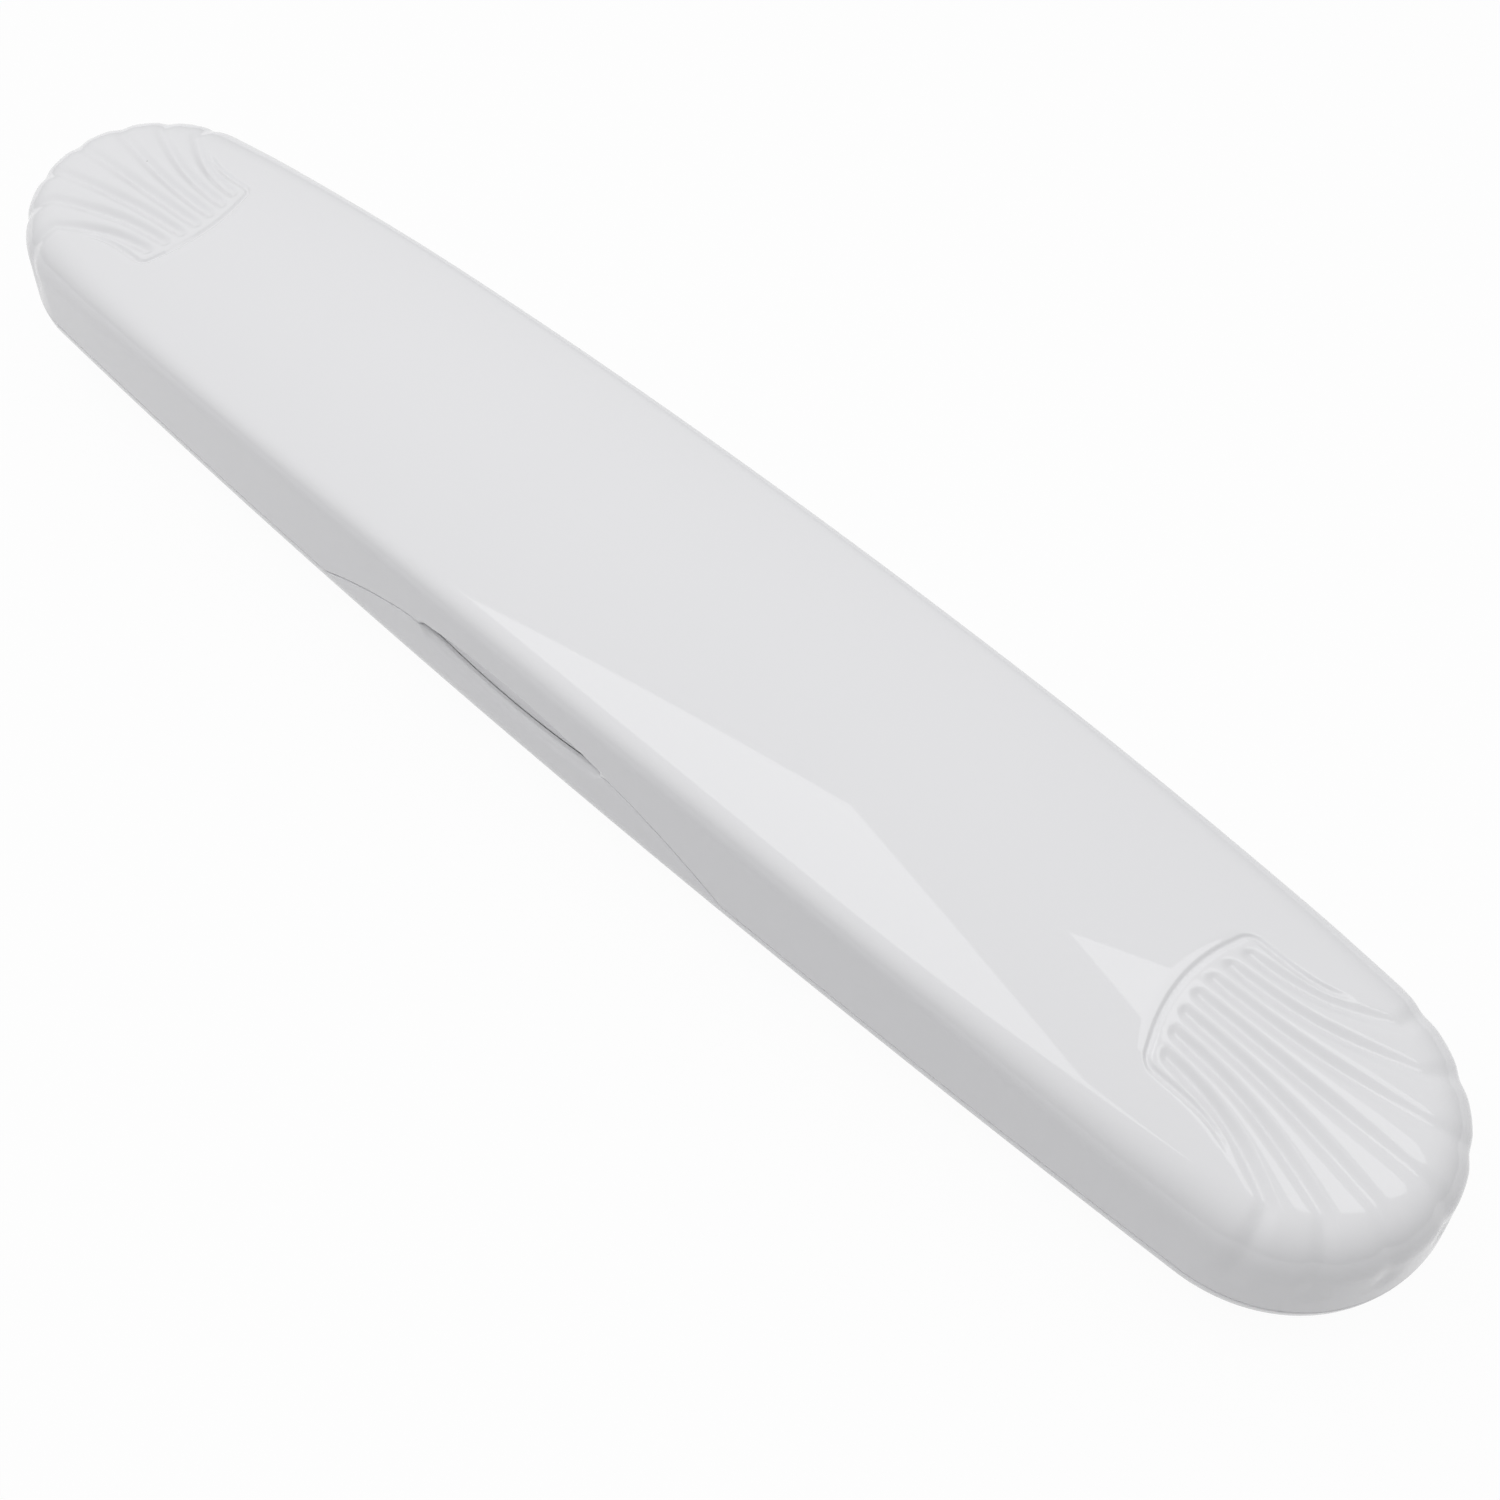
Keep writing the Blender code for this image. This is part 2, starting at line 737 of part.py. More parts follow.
def hinge_tools(label, x, tools):
    """Knuckles, arms, stop heel, pockets and bores of one hinge, the lid's knuckle in the middle."""
    axis_y, axis_z = hinge_axis()
    inner_y = axis_y - hinge_standoff - arm_depth
    lid_length = hinge_length * lid_knuckle_share
    base_length = (hinge_length - lid_length) / 2 - knuckle_gap
    away = lid_length / 2 + knuckle_gap + base_length / 2
    for name, centre, length, owner, other, up in (
            ("left", x - away, base_length, "base", "lid", -1),
            ("middle", x, lid_length, "lid", "base", 1),
            ("right", x + away, base_length, "base", "lid", -1)):
        middle = (centre, axis_y, axis_z)
        ends = (centre - length / 2, centre + length / 2)
        low, high = sorted((up * parting_gap / 2, up * knuckle_radius))
        cylinder_x(f"{label}_{name}_knuckle", knuckle_radius, length, middle, tools[owner, "knuckles"])
        box(f"{label}_{name}_arm", (ends[0], inner_y, axis_z + low), (ends[1], axis_y, axis_z + high),
            tools[owner, "knuckles"])
        cylinder_x(f"{label}_{name}_pocket", knuckle_radius + knuckle_gap, length + 2 * knuckle_gap, middle,
                   tools[other, "pockets"])

    # The heel meets the base's wall when the lid has turned through open_angle
    lead = open_angle - math.pi / 2 - math.atan2(*stop_point())
    heel_y = heel_reach * math.cos(lead)
    heel_z = heel_reach * math.sin(lead)
    box(f"{label}_heel", (x - lid_length / 2, axis_y + knuckle_radius / 2, axis_z + heel_z),
        (x + lid_length / 2, axis_y + heel_y, axis_z + heel_z + heel_thickness), tools["lid", "knuckles"])
    for shell in ("lid", "base"):
        cylinder_x(f"{label}_{shell}_bore", pin_diameter / 2 + pin_clearance, hinge_length + 4 * knuckle_gap,
                   (x, axis_y, axis_z), tools[shell, "bores"])


def build():
    for thing in list(bpy.data.objects):
        bpy.data.objects.remove(thing, do_unlink=True)
    case = bpy.data.collections.new("toothbrush_case")
    bpy.context.scene.collection.children.link(case)
    cutters = bpy.data.collections.new("hinge_tools")
    bpy.context.scene.collection.children.link(cutters)
    tools = {}
    for shell in ("lid", "base"):
        for job in ("pockets", "knuckles", "bores"):
            tools[shell, job] = bpy.data.collections.new(f"{shell}_{job}")
            cutters.children.link(tools[shell, job])

    axis_y, axis_z = hinge_axis()
    steel = material("hinge_steel", (0.62, 0.62, 0.63), 0.28, 1.0, 0.0)
    for side, x in (("left", -hinge_spacing / 2), ("right", hinge_spacing / 2)):
        hinge_tools(f"hinge_{side}", x, tools)
        pin = cylinder_x(f"hinge_pin_{side}", pin_diameter / 2, hinge_length, (x, axis_y, axis_z), case)
        pin.data.shade_smooth()
        pin.data.set_sharp_from_angle(angle=math.radians(40))
        pin.data.materials.append(steel)

    white = (0.80, 0.80, 0.81)
    lid = lid_skin().mesh_object("lid", case)
    base = base_skin().mesh_object("base", case)
    lid.data.materials.append(material("lid_plastic", white, 0.12, 0.0, 0.3))
    base.data.materials.append(material("base_plastic", white, 0.14, 0.0, 0.3))
    for shell in (lid, base):
        combine(shell, tools[shell.name, "pockets"], "DIFFERENCE")
        combine(shell, tools[shell.name, "knuckles"], "UNION")
        combine(shell, tools[shell.name, "bores"], "DIFFERENCE")

    # The lid and its tools hang from an empty on the hinge line, and turning it about X opens the case
    pivot = bpy.data.objects.new("lid_hinge", None)
    pivot.location = (0.0, axis_y, axis_z)
    case.objects.link(pivot)
    lid_tools = [tool for job in ("pockets", "knuckles", "bores") for tool in tools["lid", job].objects]
    for thing in [lid] + lid_tools:
        thing.parent = pivot
        thing.matrix_parent_inverse = Matrix.Translation(pivot.location).inverted()
    limit = pivot.constraints.new("LIMIT_ROTATION")
    limit.use_limit_x = True
    limit.min_x = -open_angle
    limit.max_x = 0.0


build()
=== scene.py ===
import json
import math

import bmesh
import bpy
import numpy as np
from mathutils import Matrix, Vector


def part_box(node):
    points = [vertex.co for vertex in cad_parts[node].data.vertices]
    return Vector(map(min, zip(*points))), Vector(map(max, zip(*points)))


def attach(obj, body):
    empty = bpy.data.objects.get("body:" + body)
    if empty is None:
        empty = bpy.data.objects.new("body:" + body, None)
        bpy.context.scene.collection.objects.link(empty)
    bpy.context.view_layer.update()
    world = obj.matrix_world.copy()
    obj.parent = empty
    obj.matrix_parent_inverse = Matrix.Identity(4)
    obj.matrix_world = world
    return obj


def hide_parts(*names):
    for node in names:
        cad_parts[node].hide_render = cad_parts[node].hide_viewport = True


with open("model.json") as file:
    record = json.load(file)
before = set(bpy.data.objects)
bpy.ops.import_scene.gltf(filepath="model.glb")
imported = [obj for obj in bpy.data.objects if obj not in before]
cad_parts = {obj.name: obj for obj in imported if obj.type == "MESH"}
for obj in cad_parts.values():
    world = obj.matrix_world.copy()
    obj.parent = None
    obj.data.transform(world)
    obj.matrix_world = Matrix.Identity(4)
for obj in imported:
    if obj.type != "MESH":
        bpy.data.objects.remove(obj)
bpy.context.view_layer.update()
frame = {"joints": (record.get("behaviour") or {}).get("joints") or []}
mm = 0.001

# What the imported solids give: overall sizes and the hinge line
baseLow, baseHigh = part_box("base")
pinBoxes = {side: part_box(f"hinge_pin_{side}") for side in ("left", "right")}
hingeY, partingZ = frame["joints"][0]["pos_m"][1:]
halfLength = (baseHigh.x - baseLow.x) / 2
halfWidth = -baseLow.y
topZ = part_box("lid")[1].z

caseForm = dict(
    endRadius=17.5 * mm,
    crownDrop=2.6 * mm,       # fall of the top from its long axis to the full half width
    archDrop=5.4 * mm,        # fall of the top from the middle to the tips
    wall=2.0 * mm,
    partingGap=0.3 * mm,      # air at the parting line between the solids, which the hinge's arms keep
    seam=0.12 * mm,           # how far the two shells' edges stay apart when shut
    sideLean=math.radians(7.0),
    endLean=math.radians(11.0),
    leanGrows=(1.6, 1.3),     # where the end's lean sets in and over what length, in end radii from the tip
    sideRounding=2.0 * mm,
    endRounding=4.3 * mm,
    roundingGrows=(45.0 * mm, 100.0 * mm),
    leastRounding=0.5 * mm,
    edgeBreak=0.18 * mm,      # small round on the edges that meet at the parting line
)

# Plan of the case: an oval of four arcs
endRadius = caseForm["endRadius"]
endCentre = halfLength - endRadius
sideRadius = (endRadius**2 - endCentre**2 - halfWidth**2) / (2 * (endRadius - halfWidth))
joinAngle = math.atan2(sideRadius - halfWidth, endCentre)
endRun = endRadius * joinAngle
quarterRun = endRun + sideRadius * (math.pi / 2 - joinAngle)

settleRounds = 8              # rounds that find where the leaning wall meets the top
sharpAngle = math.radians(50.0)


def ease(value):
    value = np.clip(value, 0.0, 1.0)
    return value * value * (3 - 2 * value)


# Plan points and outward normals at distances round the case, from the front middle
def outlineAt(runs):
    runs = np.asarray(runs, float) % (4 * quarterRun)
    quadrant = np.minimum((runs // quarterRun).astype(int), 3)
    along = runs - quadrant * quarterRun
    fromTip = np.where(quadrant % 2 == 0, quarterRun - along, along)
    signX = np.where(quadrant < 2, 1.0, -1.0)
    signY = np.where((quadrant == 1) | (quadrant == 2), 1.0, -1.0)
    onEnd = fromTip <= endRun
    angle = np.where(onEnd, fromTip / endRadius, joinAngle + (fromTip - endRun) / sideRadius)
    reach = np.where(onEnd, endRadius, sideRadius)
    x = np.where(onEnd, endCentre, 0.0) + reach * np.cos(angle)
    y = reach * np.sin(angle) - np.where(onEnd, 0.0, sideRadius - halfWidth)
    normals = np.stack([signX * np.cos(angle), signY * np.sin(angle)], -1)
    return np.stack([signX * x, signY * y], -1), normals


def topHeight(x, y):
    dropAcross = caseForm["crownDrop"] * (y / halfWidth) ** 2
    dropAlong = caseForm["archDrop"] * (x / halfLength) ** 2
    return topZ - dropAcross - dropAlong


def endShare(x):
    start, run = caseForm["leanGrows"]
    return ease((np.abs(x) - (halfLength - start * endRadius)) / (run * endRadius))


def leanAt(x):
    return caseForm["sideLean"] + endShare(x) * (caseForm["endLean"] - caseForm["sideLean"])


# Reach of the rounding between wall and top, which grows towards the ends
def roundingReach(x):
    first, last = caseForm["roundingGrows"]
    grown = ease((np.abs(x) - first) / (last - first))
    return caseForm["sideRounding"] + grown * (caseForm["endRounding"] - caseForm["sideRounding"])


# Offset from the outline of the lid's leaning wall at a height, upright below the parting line
def wallOffset(points, height, inset):
    return inset + np.maximum(height - partingZ, 0.0) * np.tan(leanAt(points[..., 0]))


def placed(points, normals, offset, height):
    plan = points - normals * np.asarray(offset)[..., None]
    return np.concatenate([plan, np.broadcast_to(height, plan.shape[:-1])[..., None]], -1)


# Wall line, corner and rounding of the lid at places on the outline, each as offset and height
def lidSection(runs, inset=0.0):
    points, normals = outlineAt(runs)
    lean = leanAt(points[..., 0])
    reach = np.maximum(roundingReach(points[..., 0]) - inset / 2, caseForm["leastRounding"])
    offset = np.full(lean.shape, float(inset))
    for _ in range(settleRounds):
        spot = points - normals * offset[..., None]
        height = topHeight(spot[..., 0], spot[..., 1]) - inset
        offset = inset + (height - partingZ) * np.tan(lean)
    start = np.stack([offset - np.sin(lean) * reach, height - np.cos(lean) * reach], -1)
    corner = np.stack([offset, height], -1)
    spot = points - normals * (offset + reach)[..., None]
    end = np.stack([offset + reach, topHeight(spot[..., 0], spot[..., 1]) - inset], -1)
    return points, normals, start, corner, end


def onRounding(start, corner, end, share):
    return (1 - share) ** 2 * start + 2 * share * (1 - share) * corner + share**2 * end


thumbArch = dict(
    halfSpan=32.0 * mm,
    band=5.3 * mm,            # lid's wall left above the arch
    dipHalfSpan=15.5 * mm,
    dipDepth=1.7 * mm,
    dipMargin=3.0 * mm,       # how far past the dip's ends arch and dip are blended
    softness=0.5 * mm,        # round of the tab's two shoulders
    recess=0.85 * mm,         # how far the lid's wall is set back along the dip
    recessStart=0.35,         # share of that set-back left at the arch
    recessRound=0.4 * mm,
    dipGap=0.3 * mm,          # more air between lid and tab along the dip
    edgeRound=1.05 * mm,      # round of the tab's edge under the thumb
    edgeDrop=1.2 * mm,
)
thumbArch["rise"] = topZ - caseForm["crownDrop"] - thumbArch["band"] - partingZ
thumbArch["land"] = 3 * caseForm["edgeBreak"]


def archHeight(x, halfSpan, rise):
    radius = (halfSpan**2 + rise**2) / (2 * rise)
    inside = np.abs(x) < halfSpan
    return np.where(inside, np.sqrt(radius**2 - np.where(inside, x, 0.0) ** 2) - (radius - rise), 0.0)


# Height of the arch with its dip above the parting line, the corners between the two rounded off
def frontRise(points, clearance):
    x = points[..., 0]
    span, rise = thumbArch["halfSpan"] - clearance, thumbArch["rise"] - clearance / 2
    full = archHeight(x, span, rise)
    shoulder = float(archHeight(np.array(thumbArch["dipHalfSpan"]), span, rise))
    dipped = shoulder - archHeight(x, thumbArch["dipHalfSpan"], thumbArch["dipDepth"])
    spread = np.maximum(thumbArch["softness"] - np.abs(full - dipped), 0.0) / thumbArch["softness"]
    lower = np.minimum(full, dipped) - spread**2 * thumbArch["softness"] / 4
    dip = np.abs(x) < thumbArch["dipHalfSpan"] + thumbArch["dipMargin"]
    return np.where(points[..., 1] < 0, np.where(dip, lower, full), 0.0)


def lidRim(points):
    return partingZ + caseForm["seam"] / 2 + frontRise(points, 0.0)


def baseRim(points):
    opened = recessInset(points) / thumbArch["recess"]
    closed = partingZ - caseForm["seam"] / 2 + frontRise(points, caseForm["seam"])
    return closed - thumbArch["dipGap"] * opened


# Upper edge of the recess over the dip, which carries on the arch, and the recess's depth
def recessTop(points):
    arch = archHeight(points[..., 0], thumbArch["halfSpan"], thumbArch["rise"])
    arch = np.where(points[..., 1] < 0, arch, 0.0)
    return np.maximum(partingZ + caseForm["seam"] / 2 + arch, lidRim(points) + thumbArch["land"])


def recessInset(points):
    crescent = recessTop(points) - thumbArch["land"] - lidRim(points)
    return thumbArch["recess"] * ease(crescent / thumbArch["recessRound"])


# Vertices and faces of one body, gathered ring by ring
class Skin:
    def __init__(self):
        self.points = []
        self.faces = []
        self.count = 0

    def ring(self, points):
        first = self.count
        self.points.append(np.asarray(points, float).reshape(-1, 3))
        self.count += len(self.points[-1])
        return np.arange(first, self.count)

    def band(self, lower, upper, closed=True):
        a, b = np.asarray(lower), np.asarray(upper)
        if closed:
            a, b = np.append(a, a[0]), np.append(b, b[0])
        self.faces.append(np.stack([a[:-1], a[1:], b[1:], b[:-1]], 1))

    # Grid across a loop whose front and back halves mirror each other, from tip to tip
    def span(self, loop, rows, heightAt, upward):
        count = len(loop)
        allPoints = np.concatenate(self.points)
        pairs = [(loop[i], loop[(count - i) % count]) for i in range(count // 2 + 1)]
        before = None
        for backIndex, frontIndex in pairs:
            if backIndex == frontIndex:
                line = np.array([backIndex])
            else:
                back, front = allPoints[backIndex], allPoints[frontIndex]
                shares = np.linspace(0, 1, rows + 1)[1:-1, None]
                inner = back + (front - back) * shares
                inner[:, 2] = heightAt(inner[:, 0], inner[:, 1])
                line = np.concatenate([[backIndex], self.ring(inner), [frontIndex]])
            if before is not None:
                if len(before) == 1 or len(line) == 1:
                    single, full = (before, line) if len(before) == 1 else (line, before)
                    fan = [(single[0], a, b) for a, b in zip(full[:-1], full[1:])]
                    flip = len(before) == 1
                    self.faces.append(np.array([f if flip != upward else f[::-1] for f in fan]))
                else:
                    quads = np.stack([before[:-1], before[1:], line[1:], line[:-1]], 1)
                    self.faces.append(quads if upward else quads[:, ::-1])
            before = line

    def made(self, name):
        mesh = bpy.data.meshes.new(name)
        points = np.concatenate(self.points)
        faces = [tuple(int(i) for i in face) for group in self.faces for face in group]
        mesh.from_pydata(points.tolist(), [], faces)
        mesh.validate()
        piece = bpy.data.objects.new(name, mesh)
        bpy.context.scene.collection.objects.link(piece)
        finishShading(piece)
        return piece


def finishShading(piece):
    piece.data.shade_smooth()
    piece.data.set_sharp_from_angle(angle=sharpAngle)


# Fluted shell on each end of the lid: flutes start on a shallow arc and fan out to the rounded end
shellForm = dict(
    flutes=7,
    pitch=2.2 * mm,           # between two flutes where they start
    spread=7.6 * mm,          # between two flutes where they meet the outline
    edgeGap=2.4 * mm,         # from the last flute to the edge of the shell at their start
    edgeSpread=4.0 * mm,      # and at the outline
    fluteWidth=2.05 * mm,
    fluteDepth=0.45 * mm,
    startDepth=0.2 * mm,      # depth of their round starts, which grows to the full one
    startRun=3.5 * mm,
    endWidth=2.8 * mm,        # width and depth that a flute has at the outline
    endDepth=0.16 * mm,
    valley=0.28 * mm,         # greatest depth of the valleys between the lobes
    valleyEdge=0.1 * mm,      # and their depth at the outline
    valleyGrown=0.75,         # share of the fan's length at which they are deepest
    valleyEases=(0.6, 0.4),   # where they get shallower again, and over what share
    reach=30.2 * mm,
    bow=2.3 * mm,
    lineWidth=1.15 * mm,      # line engraved round the shell
    lineDepth=0.22 * mm,
    lineCorner=1.5 * mm,      # round of that line's corners
    lineFades=(0.6, 0.25),    # where that line fades out, and over what share of the fan's length
    border=0.3 * mm,          # from that line to the flutes' round starts
    flare=0.01,               # sideways heading of the fan's lines where they start, per flute
    handle=0.45,              # how long the fan's lines keep their headings, as a share of their length
    slant=0.6,                # how far their ends turn from the outline's normal towards the length
    valleyReach=4.0 * mm,     # how far down the wall the valleys run
    valleyEnd=2.4 * mm,       # length of their rounded ends
)
shellEdge = (shellForm["flutes"] + 1) / 2
lastFlute = (shellForm["flutes"] - 1) // 2
meshFineness = dict(
    fluteColumns=12, lobeColumns=6, lineColumns=9, lineRows=11, startRows=12, startReach=3.6 * mm,
    fanRows=30, roundingRows=9, wallRows=14, wallCrowding=0.8, recessRows=4, stepRows=6,
    sideStep=1.1 * mm, across=36, innerRoundings=7, pitchStep=0.05,
    trayEndColumns=73, trayRoundings=13, trayLandRows=5, trayEdges=8, tabShares=(0.6, 0.3, 0.0), trayAcross=8)


# Distance of a line of the fan from the middle one: a step between flutes, and one from the last to the edge
def fanOffset(k, step, edgeStep):
    beyond = max(abs(k) - lastFlute, 0.0) * edgeStep
    return math.copysign(step * min(abs(k), lastFlute) + beyond, k)


def fanRun(k):
    return fanOffset(k, shellForm["spread"], shellForm["edgeSpread"])


fanLines = {}


# The four control points of a line of the fan, by its place k between the outermost lines
def fanLine(k):
    key = round(k, 9)
    if key not in fanLines:
        share = k / shellEdge
        startX = halfLength - shellForm["reach"] - shellForm["bow"] * (1 - share**2)
        start = np.array([startX, fanOffset(k, shellForm["pitch"], shellForm["edgeGap"])])
        point, normal, _, _, end = lidSection(np.array([quarterRun + fanRun(k)]))
        finish = point[0] - normal[0] * end[0, 0]
        reach = np.linalg.norm(finish - start) * shellForm["handle"]
        heading = np.array([1.0, shellForm["flare"] * k])
        ending = normal[0] * (1 - shellForm["slant"]) + np.array([shellForm["slant"], 0.0])
        before = finish - ending / np.linalg.norm(ending) * reach
        fanLines[key] = (start, start + heading * reach, before, finish)
    return fanLines[key]


def fanPoint(k, share):
    a, b, c, d = fanLine(k)
    rest = 1 - share
    return rest**3 * a + 3 * rest**2 * share * b + 3 * rest * share**2 * c + share**3 * d


# Columns of the fan: engraved edge, outer land, flutes and the lobes between them
def fanColumns():
    across = np.linspace(-1, 1, meshFineness["fluteColumns"] + 1)
    lobe = np.arange(1, meshFineness["lobeColumns"]) / meshFineness["lobeColumns"]
    line = np.linspace(0, 1, meshFineness["lineColumns"] + 1)
    columns = [("edge", -1, share) for share in line] + [("outer", -1, share) for share in lobe]
    for flute in range(-lastFlute, lastFlute + 1):
        columns += [("flute", flute, step) for step in across]
        if flute < lastFlute:
            columns += [("lobe", flute, share) for share in lobe]
    columns += [("outer", 1, share) for share in lobe[::-1]]
    return columns + [("edge", 1, share) for share in line[::-1]]


def fluteHalf(share):
    return (shellForm["fluteWidth"] + (shellForm["endWidth"] - shellForm["fluteWidth"]) * share) / 2


def fanPlace(column, share):
    kind, where, amount = column
    half = fluteHalf(share)
    if kind == "flute":
        if amount == 0.0:
            return float(where)
        away = math.copysign(0.5, amount)
        pitch = 2 * np.linalg.norm(fanPoint(where + away, share) - fanPoint(where, share))
        return where + amount * half / pitch
    if kind == "lobe":
        low, high = fanPlace(("flute", where, 1.0), share), fanPlace(("flute", where + 1, -1.0), share)
        return low + amount * (high - low)
    edgePoint = fanPoint(where * shellEdge, share)
    pitch = 2 * np.linalg.norm(fanPoint(where * (shellEdge - 0.5), share) - edgePoint)
    inner = where * (shellEdge - shellForm["lineWidth"] / pitch)
    if kind == "edge":
        return where * shellEdge + amount * (inner - where * shellEdge)
    flank = fanPlace(("flute", where * lastFlute, where * 1.0), share)
    return inner + amount * (flank - inner)


# Depth of the shell under the plain lid: engraved line, round flutes and the valleys they widen into
def shellRelief(k, share, fromArc, pitch):
    nearest = min(max(round(k), -lastFlute), lastFlute)
    half = fluteHalf(share)
    sideways = abs(k - nearest) * pitch
    start = shellForm["lineWidth"] + shellForm["border"] + half
    bowl = min(math.hypot(sideways, max(start - fromArc, 0.0)) / half, 1.0)
    depth = shellForm["fluteDepth"] + (shellForm["endDepth"] - shellForm["fluteDepth"]) * share
    begun = float(ease((fromArc - start + half) / shellForm["startRun"]))
    depth = shellForm["startDepth"] + (depth - shellForm["startDepth"]) * begun
    sunk = depth * 0.5 * (1 + math.cos(math.pi * bowl))
    fromLobe = min(abs(k - nearest) * (2.0 if abs(k) <= lastFlute else 1.0), 1.0)
    valley = shellForm["valley"] * float(ease(share / shellForm["valleyGrown"]))
    eases, over = shellForm["valleyEases"]
    valley += (shellForm["valleyEdge"] - shellForm["valley"]) * float(ease((share - eases) / over))
    corner, toSide = shellForm["lineCorner"], (shellEdge - abs(k)) * pitch
    toEdge = min(fromArc, toSide)
    if max(fromArc, toSide) < corner:
        toEdge = corner - math.hypot(corner - fromArc, corner - toSide)
    line = 0.5 * (1 + math.cos(math.pi * min(abs(2 * toEdge / shellForm["lineWidth"] - 1), 1.0)))
    fades, over = shellForm["lineFades"]
    line *= shellForm["lineDepth"] * (1 - float(ease((share - fades) / over)))
    return -(sunk + valley * (1 - fromLobe) ** 2 + line)


# Shares along the fan, close together over the engraved arc and the flutes' starts
def fanShares():
    length = float(np.linalg.norm(fanPoint(0.0, 1.0) - fanPoint(0.0, 0.0)))
    line, start = shellForm["lineWidth"] / length, meshFineness["startReach"] / length
    return np.concatenate([np.linspace(0, line, meshFineness["lineRows"], endpoint=False),
                           np.linspace(line, start, meshFineness["startRows"], endpoint=False),
                           np.linspace(start, 1.0, meshFineness["fanRows"])])


# Rows of the shell at the +X end, from its arc to the edge of the top, and the relief along that edge
def shellPatch(columns):
    rows, lift = [], None
    before, length = None, np.zeros(len(columns))
    for share in fanShares():
        places = [fanPlace(column, share) for column in columns]
        plan = np.array([fanPoint(k, share) for k in places])
        if before is not None:
            length = length + np.linalg.norm(plan - before, axis=1)
        before = plan
        lift = []
        for k, spot, far in zip(places, plan, length):
            step = meshFineness["pitchStep"] * (1 if k < 0 else -1)
            pitch = np.linalg.norm(fanPoint(k + step, share) - spot) / abs(step)
            lift.append(shellRelief(k, share, far, pitch))
        lift = np.array(lift)
        rows.append(np.column_stack([plan, topHeight(plan[:, 0], plan[:, 1]) + lift]))
    return rows, lift, places


# Stations along a side between the shells, with the corners of the thumb arch on them
def sideStations():
    limit = float(outlineAt(np.array([quarterRun - fanRun(shellEdge)]))[0][0, 0])
    arch, dip = thumbArch["halfSpan"], thumbArch["dipHalfSpan"]
    marks = [-limit, -arch, -dip, dip, arch, limit]
    stations = []
    for a, b in zip(marks, marks[1:]):
        count = math.ceil((b - a) / meshFineness["sideStep"])
        stations += [a + (b - a) * i / count for i in range(count)]
    return np.array(stations[1:])


def halfTurn(points):
    return points * np.array([-1.0, -1.0, 1.0])


# Distances round the outline of every column of the lid's outside: shell, back, shell, front
def ringRuns(endRuns):
    stations = sideStations()
    offsets = sideRadius * np.arcsin(stations / sideRadius)
    back = 2 * quarterRun + offsets
    front = 4 * quarterRun + offsets
    return np.concatenate([quarterRun + endRuns, back, 3 * quarterRun + endRuns, front]), len(stations)


# Lip inside the lid's edge, and the rebate in the base that takes it
lipForm = dict(length=1.6 * mm, thickness=0.7 * mm, clearance=0.3 * mm, edgeBreak=0.12 * mm)
lipForm["lap"] = caseForm["wall"] - lipForm["thickness"]
lipForm["rebate"] = lipForm["lap"] - lipForm["clearance"]


